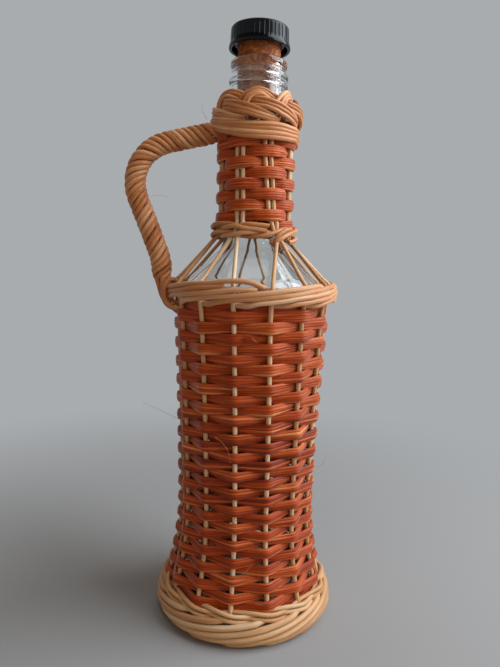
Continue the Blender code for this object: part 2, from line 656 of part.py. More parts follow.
def make_collar_wrap(collection, cane):
    """Cane wound three times round the neck, between the weave and the collar."""
    points = []
    count = round(WRAP_TURNS * LOOP_POINTS)
    for index in range(count + 1):
        turns = WRAP_TURNS * index / count
        height = WRAP_BOTTOM + WRAP_STRAND_RADIUS + WRAP_RISE * turns
        points.append(at((turns + 1 / 2) * TURN, WRAP_RADIUS, height))
    print("collar_wrap gap", least_gap(points, points, 2 * WRAP_STRAND_RADIUS, LOOP_POINTS))
    tube("collar_wrap", points, WRAP_STRAND_RADIUS, collection, cane, 1)


def handle_line(samples):
    """Places (radius, height), directions and outward normals evenly along the handle's centre line."""
    corners = [
        (WRAP_RADIUS + WRAP_STRAND_RADIUS + HANDLE_TOP_GAP, HANDLE_TOP_HEIGHT, 0),
        (HANDLE_KNEE_RADIUS, HANDLE_KNEE_HEIGHT, HANDLE_FILLET),
        (HANDLE_FOOT_RADIUS, SHOULDER_TWINE_TOP + HANDLE_FOOT_RISE, 0),
    ]
    line = np.array([tuple(point) for point in rounded(corners, HANDLE_CORE_POINTS)])
    run = np.concatenate([[0], np.cumsum(np.linalg.norm(np.diff(line, axis=0), axis=1))])
    at_run = np.array(samples) * run[-1]
    places = np.column_stack([np.interp(at_run, run, line[:, axis]) for axis in (0, 1)])
    headings = np.gradient(line, run, axis=0)
    tangents = np.column_stack([np.interp(at_run, run, headings[:, axis]) for axis in (0, 1)])
    tangents /= np.linalg.norm(tangents, axis=1)[:, None]
    normals = np.column_stack([-tangents[:, 1], tangents[:, 0]])
    return places, tangents, normals, run[-1]


def handle_radius_share(run):
    """Share of the core's full radius at this run from its top, where it tapers."""
    return HANDLE_TIP_SHARE + (1 - HANDLE_TIP_SHARE) * min(run / HANDLE_TAPER_LENGTH, 1)


def make_handle(collection, cane, rod):
    samples = np.linspace(0, 1, HANDLE_CORE_POINTS)
    places, _, _, length = handle_line(samples)
    points = [at(HANDLE_AZIMUTH, *place_of) for place_of in places]
    shares = [handle_radius_share(sample * length) for sample in samples]
    tube("handle_core", points, HANDLE_CORE_RADIUS, collection, rod, 2, False, shares)

    clear = CANE_END_CLEARANCE / length
    count = CANE_LOOPS * CANE_POINTS_PER_LOOP
    samples = np.linspace(2 * clear, 1 - 2 * clear, count + 1)
    places, tangents, normals, _ = handle_line(samples)
    pitch = length * (samples[-1] - samples[0]) / CANE_LOOPS
    turning = np.gradient(np.unwrap(np.arctan2(tangents[:, 1], tangents[:, 0])), samples * length)
    sideways = at(HANDLE_AZIMUTH + TURN / 4, 1, 0)
    sections = []
    for index, sample in enumerate(samples):
        angle = TURN * index / CANE_POINTS_PER_LOOP
        core = HANDLE_CORE_RADIUS * handle_radius_share(sample * length)
        reach = (core + GAP) / math.cos(TURN / 2 / CANE_POINTS_PER_LOOP) + CANE_THICKNESS / 2
        normal = at(HANDLE_AZIMUTH, *normals[index])
        along = at(HANDLE_AZIMUTH, *tangents[index])
        outward = normal * math.cos(angle) + sideways * math.sin(angle)
        spacing = pitch * (1 - turning[index] * reach * math.cos(angle))
        centre = at(HANDLE_AZIMUTH, *places[index]) + outward * reach
        sections.append(flat_section(centre, outward, along, spacing - CANE_GAP, CANE_THICKNESS))
    trailing, leading = zip(*[(section[1], section[0]) for section in sections])
    print("handle_wrap gap", least_gap(trailing, leading, 0, CANE_POINTS_PER_LOOP))
    lofted("handle_wrap", sections, False, collection, cane)


def make_lashing(collection, cane):
    """A closed loop of cane round the shoulder twine, beside the handle's foot."""
    azimuth = stake_azimuth(-LASHING_STAKE_STEPS, SHOULDER_TWINE_BOTTOM)
    crossing = SHOULDER_STRAND_RADIUS + GAP / 2
    half_depth = SHOULDER_STRAND_RADIUS + crossing
    bottom = SHOULDER_TWINE_BOTTOM - GAP - LASHING_THICKNESS / 2
    top = SHOULDER_TWINE_TOP + GAP + LASHING_THICKNESS / 2
    inner, outer = SHOULDER_STAKE_LINE - half_depth, SHOULDER_STAKE_LINE + half_depth
    ends = [(inner, bottom), (inner, top), (outer, top), (outer, bottom)]
    corners = [(*end, LASHING_FILLET) for end in ends]
    loop = rounded(corners, FILLET_STEPS)
    middle = Vector(((inner + outer) / 2, (bottom + top) / 2))
    sideways = at(azimuth + TURN / 4, 1, 0)
    sections = []
    for index, point in enumerate(loop):
        heading = (loop[(index + 1) % len(loop)] - loop[index - 1]).normalized()
        outward = Vector((-heading.y, heading.x))
        if outward.dot(point - middle) < 0:
            outward.negate()
        centre = at(azimuth, *point)
        sections.append(
            flat_section(centre, at(azimuth, *outward), sideways, LASHING_WIDTH, LASHING_THICKNESS)
        )
    lofted("handle_lashing", sections, True, collection, cane)


def main():
    for obj in list(bpy.data.objects):
        bpy.data.objects.remove(obj)
    parts = bpy.data.collections.new("wicker_covered_bottle")
    cutters = bpy.data.collections.new("cutters")
    for collection in (parts, cutters):
        bpy.context.scene.collection.children.link(collection)

    glass = material("clear_glass", (0.86, 0.90, 0.90), 0.04, transmission=1)
    cork = material("cork", (0.42, 0.24, 0.12), 0.85)
    plastic = material("black_plastic", (0.012, 0.012, 0.013), 0.22)
    cane = material("pale_cane", (0.72, 0.47, 0.25), 0.55)
    rod = material("pale_rod", (0.66, 0.44, 0.24), 0.6)
    reed = material("dyed_reed", (0.38, 0.12, 0.045), 0.55)

    stopper = bpy.data.objects.new("stopper_axis", None)
    parts.objects.link(stopper)

    make_glass(parts, cutters, glass)
    make_cork(stopper, parts, cork)
    make_cap(stopper, parts, plastic)
    make_stakes(parts, cane)
    make_body_weave(parts, reed)
    make_neck_weave(parts, reed)
    make_twines(parts, cane)
    make_border(parts, cutters, cane)
    make_collar(parts, cane)
    make_collar_wrap(parts, cane)
    make_handle(parts, cane, rod)
    make_lashing(parts, cane)


main()
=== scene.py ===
"""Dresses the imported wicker-covered bottle: glass, cork, cap, woven jacket, collar and roped handle.

Metres, +Z up, origin at the centre of the bottle's foot. The handle points towards -X. Azimuths are
measured from the front (-Y) towards +X, as in the CAD.
"""

import json
import math

import bpy
import numpy as np
from mathutils import Matrix, Vector

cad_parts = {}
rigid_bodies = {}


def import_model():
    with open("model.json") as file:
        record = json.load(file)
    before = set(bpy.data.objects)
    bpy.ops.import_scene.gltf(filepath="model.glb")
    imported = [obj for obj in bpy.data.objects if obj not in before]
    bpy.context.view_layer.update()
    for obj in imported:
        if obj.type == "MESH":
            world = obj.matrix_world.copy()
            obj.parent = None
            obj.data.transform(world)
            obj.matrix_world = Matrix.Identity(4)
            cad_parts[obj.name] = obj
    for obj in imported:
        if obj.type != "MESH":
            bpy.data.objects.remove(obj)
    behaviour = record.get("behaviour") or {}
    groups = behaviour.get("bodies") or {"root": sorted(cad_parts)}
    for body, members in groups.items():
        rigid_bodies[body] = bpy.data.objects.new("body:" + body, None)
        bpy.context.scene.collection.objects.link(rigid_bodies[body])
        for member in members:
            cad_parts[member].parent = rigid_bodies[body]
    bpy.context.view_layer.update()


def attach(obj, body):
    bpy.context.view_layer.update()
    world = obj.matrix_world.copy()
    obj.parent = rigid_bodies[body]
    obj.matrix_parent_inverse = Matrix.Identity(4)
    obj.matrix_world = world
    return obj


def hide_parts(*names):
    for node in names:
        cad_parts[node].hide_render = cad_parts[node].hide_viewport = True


TURN = 2 * math.pi

# Glass
FOOT_RADIUS, SHOULDER_RADIUS, NECK_RADIUS, BORE_RADIUS = 0.0289, 0.0333, 0.0134, 0.0101
FOOT_THICKNESS, BODY_WALL = 0.0048, 0.0028
SHOULDER_HEIGHT, SHOULDER_CORNER, NECK_CORNER, RIM_HEIGHT = 0.1560, 0.1660, 0.1852, 0.2700
MOUTH_RADIUS, MOUTH_BOTTOM = 0.0130, 0.2520
THREAD_RIDGE, THREAD_PITCH, THREAD_TURNS, THREAD_TOP = 0.0013, 0.0042, 1.8, 0.2646
GLASS_SEGMENTS = 128

# Cork and cap
CORK_RADIUS, CORK_BOTTOM, CORK_TOP = 0.01015, 0.2510, 0.2817
CORK_SEGMENTS, CORK_STEP, CORK_DENTS, CORK_DENT = 96, 0.0008, 26, 0.00035
CAP_BOTTOM, CAP_TOP, CAP_RADIUS = 0.2752, 0.2852, 0.0145
CAP_RIBS, CAP_RIB_SEGMENTS, CAP_STEP, GROOVE_DEPTH, GROOVE_SHARE = 38, 12, 0.0007, 0.00036, 0.11

# Wicker
STAKES, PAIRS = 14, 7
STAKE_RADIUS, STAKE_TIP_SHARE = 0.00115, 0.9
CENTRE_STAKE, STAKE_LEAN = math.radians(-8), math.radians(-4.5)
PAIR_SHIFT, PAIR_SPACING = math.radians(-3), 0.0029
STAKE_STEP, PAIR_STEP = TURN / STAKES, TURN / PAIRS
STAKE_FOOT, FLARE_HEIGHT = 0.01085, 0.0600
STAKE_FOOT_LINE, BODY_WICKER_DEPTH = 0.0400, 0.0031
SHOULDER_LINE, NECK_LINE, NECK_TWINE_LINE = 0.03765, 0.016585, 0.018285
STAKE_BODY_TOP, BODY_BOTTOM, BODY_TOP = 0.1550, 0.0176, 0.1568
SHOULDER_BAND_BOTTOM, SHOULDER_BAND_TOP = 0.1570, 0.1690
NECK_TWINE_BOTTOM, NECK_TWINE_PITCH = 0.1849, 0.0040
# Degrees that a spoke leans aside where it meets the neck, by the stake's count from the front
SPOKE_SHIFTS = {-3: -8, -2: -8, -1: -3.5, 0: -5.6, 1: 8, 3: 14, 4: 8}
NECK_WEAVE_BOTTOM, NECK_WEAVE_TOP = 0.1914, 0.2342
# The pass at which the neck's weaver stays outside, under the wraps
NECK_DOUBLE = 55
BODY_ROWS, BODY_GROWTH, BODY_START, NECK_ROWS, NECK_START = 32, 0.115, -3.5, 9, 1.5
BODY_PITCH = (BODY_TOP - BODY_BOTTOM) / BODY_ROWS
NECK_WEAVE_PITCH = (NECK_WEAVE_TOP - NECK_WEAVE_BOTTOM) / NECK_ROWS
# Hidden reeds: radius, height, width. The last one, on the body, is put there as shade: it hides the glass
# behind the weave's gaps
LINERS = [(0.0349, 0.1562, 0.0050), (0.0374, 0.0150, 0.0046), (0.0150, 0.2328, 0.0046),
          (0.0324, 0.1045, 0.0078)]
HANDLE_AZIMUTH = math.radians(-86)
COLLAR_BUNDLES = 7

# Stage, lights and camera. A lamp has a name, place, target, size, watts, colour, and whether gloss shows it
STAGE_COLOUR, BACKDROP_COLOUR = (0.314, 0.306, 0.298), (0.395, 0.413, 0.428)
STAGE_RADIUS, STAGE_CURVE, STAGE_HEIGHT, FADE_START, FADE_END = 2.2, 0.9, 1.9, 0.10, 0.42
LAMPS = [
    ("window", (0.66, -0.08, 0.60), (0, 0, 0.15), (0.8, 0.9), 11.8, (0.92, 1.0, 1.08), True),
    ("fill", (-0.18, -1.15, 0.50), (0, 0, 0.15), (1.6, 1.6), 4.5, (1.0, 0.81, 0.64), False),
    ("top", (-0.1, 0.25, 1.2), (0, 0, 0.1), (0.8, 0.8), 2.5, (1, 1, 1), True),
]
ROOM_COLOUR, ROOM_STRENGTH = (1.0, 0.91, 0.82), 0.10
PHOTO_HEIGHT, FOCAL_PIXELS, SHIFT_PIXELS, SENSOR = 667, 560, -0.8, 36
CAMERA_PLACE, CAMERA_PITCH, CAMERA_ROLL = (0, -0.279, 0.177), math.radians(7.4), math.radians(1.77)


# Shapes
def at(azimuth, radius, height):
    azimuth, radius, height = np.broadcast_arrays(azimuth, radius, height)
    return np.stack([radius * np.sin(azimuth), -radius * np.cos(azimuth), height], -1).astype(float)


def unit(vectors):
    return vectors / np.linalg.norm(vectors, axis=1)[:, None]


def radial(points):
    """Directions away from the bottle's axis."""
    out = np.array(points, float)
    out[:, 2] = 0
    return out / np.maximum(np.linalg.norm(out, axis=1), 1e-9)[:, None]


def wobble(x, seed):
    """A smooth repeatable wander in about -1 to 1, a wave or so for each unit of x."""
    x = np.asarray(x, float)
    total = np.zeros_like(x)
    for k, (freq, amp) in enumerate(((1.0, 0.5), (2.37, 0.3), (5.13, 0.2))):
        phase = (math.sin(seed * 12.9898 + k * 78.233) * 43758.5453) % 1 * TURN
        total = total + amp * np.sin(x * freq * TURN + phase)
    return total


def hashed(seed):
    return (math.sin(seed * 91.3458 + 4.1) * 47453.5453) % 1


def run_along(line):
    """How far along a line each of its points lies."""
    return np.concatenate([[0], np.cumsum(np.linalg.norm(np.diff(line, axis=0), axis=1))])


def placed(places):
    """Points from places in degrees and millimetres: azimuth, radius, height."""
    return [at(math.radians(azimuth), radius / 1000, height / 1000) for azimuth, radius, height in places]


def section(sides):
    """Angles of the corners of a round section."""
    return TURN * (np.arange(sides) + 0.5) / sides


def sampled(wanted, run, points):
    """Points at the wanted places along a run that the given points lie on."""
    return np.stack([np.interp(wanted, run, column) for column in points.T], 1)


def smooth(values, sigma):
    """Gaussian smoothing along the first axis, in samples, which keeps both ends."""
    reach = max(int(3 * sigma), 1)
    if len(values) <= reach + 1:
        return values
    kernel = np.exp(-0.5 * (np.arange(-reach, reach + 1) / sigma) ** 2)
    kernel /= kernel.sum()
    flat = values.reshape(len(values), -1)
    head = 2 * flat[0] - flat[reach:0:-1]
    tail = 2 * flat[-1] - flat[-2 : -reach - 2 : -1]
    padded = np.concatenate([head, flat, tail])
    made = np.stack([np.convolve(padded[:, c], kernel, "valid") for c in range(flat.shape[1])], 1)
    return made.reshape(values.shape)


def resampled(knees, step, softness, extras=()):
    """Points each step along straight runs between knees, with the knees softened, and extras likewise."""
    knees = np.asarray(knees, float)
    run = run_along(knees)
    count = max(int(round(run[-1] / step)), 4)
    s = np.linspace(0, run[-1], count + 1)
    sigma = softness / (run[-1] / count)
    dense = smooth(sampled(s, run, knees), sigma)
    more = [smooth(np.interp(s, run, np.asarray(extra, float)), sigma) for extra in extras]
    return (dense, *more) if extras else dense


def curve_through(knees, step):
    """Points each step along a smooth curve through the knees (Catmull-Rom)."""
    knees = np.asarray(knees, float)
    padded = np.concatenate([[2 * knees[0] - knees[1]], knees, [2 * knees[-1] - knees[-2]]])
    made = []
    for a, b, c, d in zip(padded, padded[1:], padded[2:], padded[3:]):
        count = max(int(math.ceil(np.linalg.norm(c - b) / step)), 1)
        t = np.linspace(0, 1, count, endpoint=False)[:, None]
        made.append(
            0.5 * (2 * b + (c - a) * t + (2 * a - 5 * b + 4 * c - d) * t**2 + (3 * b - a - 3 * c + d) * t**3)
        )
    made.append(knees[-1:])
    return np.concatenate(made)


class Bundle:
    """Gathers swept strips into one mesh, with how far along and across each point lies, and a tint, which on
    the reeds also carries painted shade.
    """

    def __init__(self):
        self.points, self.faces, self.grain, self.tint, self.count = [], [], [], [], 0

    def sweep(self, line, outward, across, out, ident, tint=0.5, closed=False):
        line, outward = np.asarray(line, float), np.asarray(outward, float)
        rows, sides = across.shape
        if closed:
            tangent = np.roll(line, -1, 0) - np.roll(line, 1, 0)
        else:
            tangent = np.gradient(line, axis=0)
        tangent = unit(tangent)
        side = unit(np.cross(tangent, outward))
        up = np.cross(side, tangent)
        points = line[:, None] + side[:, None] * across[..., None] + up[:, None] * out[..., None]
        run = run_along(line)
        middle = rows // 2
        round_it = run_along(np.stack([across[middle], out[middle]], 1))
        grain = np.empty((rows, sides, 3))
        grain[..., 0] = run[:, None] + hashed(ident) * 3
        grain[..., 1] = round_it[None]
        grain[..., 2] = ident
        index = self.count + np.arange(rows * sides).reshape(rows, sides)
        following = np.roll(index, -1, 0) if closed else index[1:]
        here = index if closed else index[:-1]
        around, around_next = np.roll(here, -1, 1), np.roll(following, -1, 1)
        quads = np.stack([here, following, around_next, around], -1).reshape(-1, 4)
        self.faces.extend(quads.tolist())
        if not closed:
            self.faces.append(index[0].tolist())
            self.faces.append(index[-1][::-1].tolist())
        self.points.append(points.reshape(-1, 3))
        self.grain.append(grain.reshape(-1, 3))
        self.tint.append(np.broadcast_to(np.asarray(tint, float), (rows, sides)).reshape(-1))
        self.count += rows * sides

    def strand(self, line, radius, ident, sides=10, wander=0.04, outward=None):
        """A round strand, a little uneven along its length, which faces away from the bottle's axis."""
        line = np.asarray(line, float)
        rows = len(line)
        run = run_along(line)
        uneven = 1 + wander * wobble(run / 0.02, ident)
        radius = np.broadcast_to(np.asarray(radius, float), (rows,)) * uneven
        angle = section(sides)
        across = radius[:, None] * np.cos(angle)[None]
        out = radius[:, None] * np.sin(angle)[None]
        outward = radial(line) if outward is None else outward
        self.sweep(line, outward, across, out, ident, hashed(ident) * 0.8 + 0.1)

    def build(self, name, made_of, *nodes, slot="pale_cane"):
        """One piece of all the strips, which rides on the bottle."""
        mesh = bpy.data.meshes.new(name)
        mesh.from_pydata(np.concatenate(self.points).tolist(), [], self.faces)
        grain = mesh.attributes.new("grain", "FLOAT_VECTOR", "POINT")
        grain.data.foreach_set("vector", np.concatenate(self.grain).astype(np.float32).ravel())
        tint = mesh.attributes.new("tint", "FLOAT", "POINT")
        tint.data.foreach_set("value", np.concatenate(self.tint).astype(np.float32))
        mesh.shade_smooth()
        mesh.set_sharp_from_angle(angle=math.radians(50))
        settled(name, mesh, made_of, "bottle", slot, *nodes)


def make_strand(name, line, radius, ident, made_of, *nodes, slot="pale_cane", **shape):
    """A piece of one round strand."""
    bundle = Bundle()
    bundle.strand(line, radius, ident, **shape)
    bundle.build(name, made_of, *nodes, slot=slot)


def linked(name, data):
    made = bpy.data.objects.new(name, data)
    bpy.context.scene.collection.objects.link(made)
    return made


def settled(name, mesh, made_of, body, slot, *nodes):
    """A piece from a mesh, which rides on its body and stands for CAD nodes."""
    piece = linked(name, mesh)
    mesh.materials.append(made_of)
    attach(piece, body)
    if nodes:
        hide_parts(*nodes)


def lathe(name, outline, segments):
    """A turned mesh from an outline of radii and heights. A fan closes it where it meets the axis."""
    angle = TURN * np.arange(segments) / segments
    points, rings = [], []
    for radius, height in outline:
        if radius < 1e-7:
            rings.append([len(points)])
            points.append((0, 0, height))
        else:
            rings.append(list(range(len(points), len(points) + segments)))
            points.extend(at(angle, radius, height).tolist())
    faces = []
    for upper, lower in zip(rings, rings[1:]):
        for k in range(segments):
            # At the axis two corners are one, and the face is a triangle
            corners = (upper, k), (lower, k), (lower, k + 1), (upper, k + 1)
            faces.append(list(dict.fromkeys(ring[step % len(ring)] for ring, step in corners)))
    mesh = bpy.data.meshes.new(name)
    mesh.from_pydata(points, [], faces)
    mesh.shade_smooth()
    return mesh


def arc(corners, steps):
    """Outline points through corners (radius, height, fillet)."""
    made = []
    for index, (radius, height, fillet) in enumerate(corners):
        here = Vector((radius, height))
        if not fillet:
            made.append((radius, height))
            continue
        before = (Vector(corners[index - 1][:2]) - here).normalized()
        after = (Vector(corners[index + 1][:2]) - here).normalized()
        half = before.angle(after) / 2
        reach = fillet / math.tan(half)
        middle = here + (before + after).normalized() * (fillet / math.sin(half))
        first = here + before * reach - middle
        sweep = first.angle_signed(here + after * reach - middle)
        for step in range(steps + 1):
            turn = -sweep * step / steps
            x = first.x * math.cos(turn) - first.y * math.sin(turn)
            y = first.x * math.sin(turn) + first.y * math.cos(turn)
            made.append((middle.x + x, middle.y + y))
    return made


def refined(outline, step, inner=-1.0):
    """The outline with its stretches beyond the inner radius cut into short steps."""
    made = []
    for (r0, h0), (r1, h1) in zip(outline, outline[1:]):
        steps = max(int(math.hypot(r1 - r0, h1 - h0) / step), 1) if min(r0, r1) > inner else 1
        made += [(r0 + (r1 - r0) * k / steps, h0 + (h1 - h0) * k / steps) for k in range(steps)]
    return [*made, outline[-1]]


def press_in(mesh, depth):
    """Moves a turned mesh's points towards its axis by a depth worked out from turn, radius and height."""
    points = np.zeros(len(mesh.vertices) * 3, np.float32)
    mesh.vertices.foreach_get("co", points)
    points = points.reshape(-1, 3)
    radius = np.maximum(np.hypot(points[:, 0], points[:, 1]), 1e-6)
    turn = np.arctan2(points[:, 1], points[:, 0]) / TURN
    points[:, :2] *= (1 - depth(turn, radius, points[:, 2]) / radius)[:, None]
    mesh.vertices.foreach_set("co", points.ravel())


def glass_radius(height):
    share = np.clip(height / SHOULDER_HEIGHT, 0, 1)
    return FOOT_RADIUS + (SHOULDER_RADIUS - FOOT_RADIUS) * share**2


def stake_line(height):
    """Radius of the stakes' centre lines on the body."""
    flare = STAKE_FOOT_LINE - glass_radius(STAKE_FOOT) - BODY_WICKER_DEPTH
    share = np.clip(FLARE_HEIGHT - height, 0, None) / (FLARE_HEIGHT - STAKE_FOOT)
    return glass_radius(height) + BODY_WICKER_DEPTH + flare * share**2


def stake_azimuth(count, height):
    """Azimuth of a stake on the body, where the stakes lean a little as they rise."""
    lean = STAKE_LEAN * np.clip(height / SHOULDER_HEIGHT, 0, 1) ** 2
    return CENTRE_STAKE + lean + np.asarray(count) * STAKE_STEP


def pair_azimuth(count, height=0):
    """Azimuth of a pair on the neck. All lean a little, and the pair right of the front leans most."""
    lifted = np.clip((height - 0.200) / 0.026, -0.4, 1)
    near = np.clip(1 - np.abs(np.asarray(count, float) % PAIRS - 1), 0, 1)
    lean = -math.radians(2.5) * lifted - math.radians(6.5) * near * np.where(lifted > 0, lifted, lifted * 1.6)
    return CENTRE_STAKE - STAKE_STEP / 2 + PAIR_SHIFT + np.asarray(count) * PAIR_STEP + lean * (height > 0.1)


# Materials
class Shader:
    """A Principled material and a few short ways to add nodes to it."""

    def __init__(self, name, roughness, **sockets):
        self.material = bpy.data.materials.new(name)
        self.material.use_nodes = True
        self.tree = self.material.node_tree
        self.shader = self.tree.nodes["Principled BSDF"]
        self.shader.inputs["Roughness"].default_value = roughness
        for socket, value in sockets.items():
            self.shader.inputs[socket.replace("_", " ")].default_value = value

    def node(self, kind, **inputs):
        made = self.tree.nodes.new(kind)
        for key, value in inputs.items():
            self.join(value, made.inputs[key.replace("_", " ")])
        return made

    def join(self, value, socket):
        if isinstance(value, bpy.types.NodeSocket):
            self.tree.links.new(value, socket)
        else:
            socket.default_value = value

    def math(self, operation, first, second=0.0, third=0.0):
        made = self.node("ShaderNodeMath")
        made.operation = operation
        for socket, value in zip(made.inputs, (first, second, third)):
            self.join(value, socket)
        return made.outputs[0]

    def total(self, *terms):
        """The sum of values, each times its weight."""
        made = self.math("MULTIPLY", *terms[0])
        for value, weight in terms[1:]:
            made = self.math("ADD", made, self.math("MULTIPLY", value, weight))
        return made

    def centred(self, value):
        return self.math("SUBTRACT", value, 0.5)

    def mix(self, share, first, second, blend="MIX"):
        made = self.node("ShaderNodeMix")
        made.data_type = "RGBA"
        made.blend_type = blend
        self.join(share, made.inputs[0])
        self.join(first, made.inputs[6])
        self.join(second, made.inputs[7])
        return made.outputs[2]

    def ramp(self, value, *stops):
        made = self.node("ShaderNodeValToRGB")
        self.join(value, made.inputs[0])
        ramp = made.color_ramp
        while len(ramp.elements) < len(stops):
            ramp.elements.new(0.5)
        for element, (place, colour) in zip(ramp.elements, stops):
            element.position = place
            element.color = (*colour, 1)
        return made.outputs[0]

    def grain(self, along, across, salt, detail=2.0):
        """Noise drawn out along a strand: along and across are waves for each metre."""
        scaled = self.node("ShaderNodeVectorMath")
        scaled.operation = "MULTIPLY"
        self.join(self.attribute("grain", "Vector"), scaled.inputs[0])
        scaled.inputs[1].default_value = (along, across, salt)
        return self.noise(scaled.outputs[0], 1.0, detail, 0.6)

    def noise(self, where, scale, detail, roughness=0.5):
        made = self.node("ShaderNodeTexNoise", Vector=where, Scale=scale, Detail=detail, Roughness=roughness)
        return made.outputs["Fac"]

    def where(self):
        return self.node("ShaderNodeTexCoord").outputs["Object"]

    def attribute(self, name, output="Fac"):
        made = self.node("ShaderNodeAttribute")
        made.attribute_name = name
        return made.outputs[output]

    def bump(self, height, strength, distance):
        made = self.node("ShaderNodeBump", Strength=strength, Distance=distance)
        self.join(height, made.inputs["Height"])
        self.join(made.outputs[0], self.shader.inputs["Normal"])

    def roughness(self, value, span, least):
        self.join(self.math("MULTIPLY_ADD", value, span, least), self.shader.inputs["Roughness"])

    def colour(self, value):
        self.join(value, self.shader.inputs["Base Color"])


def reed_material():
    """Dyed flat reed: fine fibres along, an uneven red-brown dye, shade painted into the grooves and onto the
    back, a dull sheen.
    """
    make = Shader("dyed_reed", 0.5, Specular_IOR_Level=0.36, Specular_Tint=(1, 0.70, 0.55, 1),
                  Sheen_Weight=0.42, Sheen_Roughness=0.35, Sheen_Tint=(1, 0.82, 0.66, 1))
    fibre = make.grain(55, 3600, 3.1, 3.0)
    streak = make.grain(22, 900, 7.7, 2.0)
    blotch = make.grain(30, 120, 5.3, 2.0)
    # The tint holds each lobe's own tone, and also the shade painted into the grooves and onto the back
    tint = make.centred(make.attribute("tint"))
    tone = make.total((fibre, 0.5), (streak, 0.5), (tint, 0.3), (make.centred(blotch), 0.3))
    dye_and_shade = make.ramp(
        tone,
        (0.22, (0.13, 0.009, 0.0012)),
        (0.44, (0.34, 0.038, 0.0034)),
        (0.60, (0.53, 0.086, 0.012)),
        (0.80, (0.80, 0.32, 0.12)),
    )
    make.colour(dye_and_shade)
    make.roughness(fibre, 0.3, 0.30)
    make.bump(make.math("ADD", fibre, make.math("MULTIPLY", streak, 0.8)), 0.55, 0.00022)
    return make.material


def cane_material(name, dark, middle, light):
    """Peeled willow and cane: long fine fibres, warm uneven tone, satin skin."""
    make = Shader(name, 0.48, Specular_IOR_Level=0.42, Sheen_Weight=0.10, Sheen_Roughness=0.35,
                  Sheen_Tint=(1, 0.92, 0.84, 1))
    fibre = make.grain(40, 2600, 3.3, 3.0)
    streak = make.grain(14, 500, 6.1, 2.0)
    blotch = make.grain(38, 90, 2.9, 2.0)
    tint = make.centred(make.attribute("tint"))
    tone = make.total((fibre, 0.35), (streak, 0.45), (blotch, 0.25), (tint, 0.28))
    make.colour(make.ramp(tone, (0.30, dark), (0.52, middle), (0.74, light)))
    make.roughness(streak, 0.25, 0.34)
    make.bump(make.math("ADD", fibre, make.math("MULTIPLY", streak, 0.6)), 0.35, 0.00016)
    return make.material


def glass_material():
    make = Shader("clear_glass", 0.03, IOR=1.5, Transmission_Weight=1, Base_Color=(0.965, 0.975, 0.965, 1))
    make.bump(make.noise(make.where(), 26.0, 0.0), 0.12, 0.0004)
    return make.material


def cork_material():
    """Agglomerated cork: packed granules and dark seams."""
    make = Shader("cork", 0.85)
    where, scale = make.where(), 620.0
    grains = make.node("ShaderNodeTexVoronoi", Vector=where, Scale=scale)
    seams = make.node("ShaderNodeTexVoronoi", Vector=where, Scale=scale)
    seams.feature = "DISTANCE_TO_EDGE"
    pick = make.node("ShaderNodeSeparateColor", Color=grains.outputs["Color"]).outputs[0]
    tone = make.total((pick, 0.45), (make.noise(where, 160.0, 3.0), 0.6))
    dark, middle, light = (0.20, 0.042, 0.009), (0.43, 0.118, 0.025), (0.62, 0.22, 0.06)
    granule = make.ramp(tone, (0.2, dark), (0.55, middle), (0.9, light))
    seam = make.ramp(seams.outputs["Distance"], (0.0, (0.55, 0.55, 0.55)), (0.10, (1, 1, 1)))
    make.colour(make.mix(1.0, granule, seam, "MULTIPLY"))
    height = make.math("MINIMUM", seams.outputs["Distance"], 0.12)
    make.bump(make.math("ADD", height, make.noise(where, 1500.0, 4.0)), 0.3, 0.0003)
    return make.material


def plastic_material():
    make = Shader("black_plastic", 0.2, Specular_IOR_Level=0.22)
    scuff = make.noise(make.where(), 240.0, 6.0)
    make.colour(make.ramp(scuff, (0.3, (0.0015, 0.0015, 0.002)), (0.8, (0.004, 0.004, 0.005))))
    make.roughness(scuff, 0.12, 0.10)
    return make.material


# Glass, cork and cap
def make_glass(glass):
    """One clear shell with a beaded rim and a foot whose middle is raised."""
    heights = np.linspace(0.0140, SHOULDER_HEIGHT, 14)
    wall = BODY_WALL
    inside = [
        (0, FOOT_THICKNESS + 0.0012, 0),
        (FOOT_RADIUS - wall - 0.009, FOOT_THICKNESS, 0.004),
        (FOOT_RADIUS - wall, FOOT_THICKNESS + 0.0006, 0.0050),
        *[(glass_radius(h) - wall, h, 0) for h in heights],
        (SHOULDER_RADIUS - wall, SHOULDER_CORNER - wall / 2, 0.0092),
        (BORE_RADIUS, NECK_CORNER - wall / 2, 0.0090),
        (BORE_RADIUS, RIM_HEIGHT, 0.0009),
    ]
    outside = [
        (MOUTH_RADIUS + 0.0004, RIM_HEIGHT, 0.0013),
        (MOUTH_RADIUS + 0.0004, RIM_HEIGHT - 0.0026, 0.0008),
        (MOUTH_RADIUS - 0.0003, RIM_HEIGHT - 0.0036, 0.0008),
        (MOUTH_RADIUS - 0.0003, MOUTH_BOTTOM + 0.0014, 0.0008),
        (NECK_RADIUS, MOUTH_BOTTOM, 0.0008),
        (NECK_RADIUS, NECK_CORNER, 0.0090),
        (SHOULDER_RADIUS, SHOULDER_CORNER, 0.0120),
        *[(glass_radius(h), h, 0) for h in heights[::-1]],
        (FOOT_RADIUS, 0.0002, 0.0045),
        (FOOT_RADIUS - 0.0080, 0.0002, 0.0012),
        (FOOT_RADIUS - 0.0100, 0.0012, 0.0030),
        (0, 0.0016, 0),
    ]
    mesh = lathe("clear_bottle", arc(inside + outside, 8), GLASS_SEGMENTS)
    settled("clear_bottle", mesh, glass, "bottle", "clear_glass", "glass_bottle")


def make_thread(glass):
    """The mouth's thread: a ridge sunk into the wall, which fades at both ends."""
    samples, sides, start, sunk, blunt, swell = 150, 14, -1.6, 0.0001, 0.15, 3.2
    turns = np.linspace(0, THREAD_TURNS, samples)
    ends = np.minimum(turns, THREAD_TURNS - turns)
    size = THREAD_RIDGE * np.clip(blunt + swell * ends, 0, 1)
    line = at(turns * TURN + start, MOUTH_RADIUS - sunk, THREAD_TOP - turns * THREAD_PITCH)
    make_strand("mouth_thread", line, size, 1, glass, slot="clear_glass", sides=sides, wander=0)


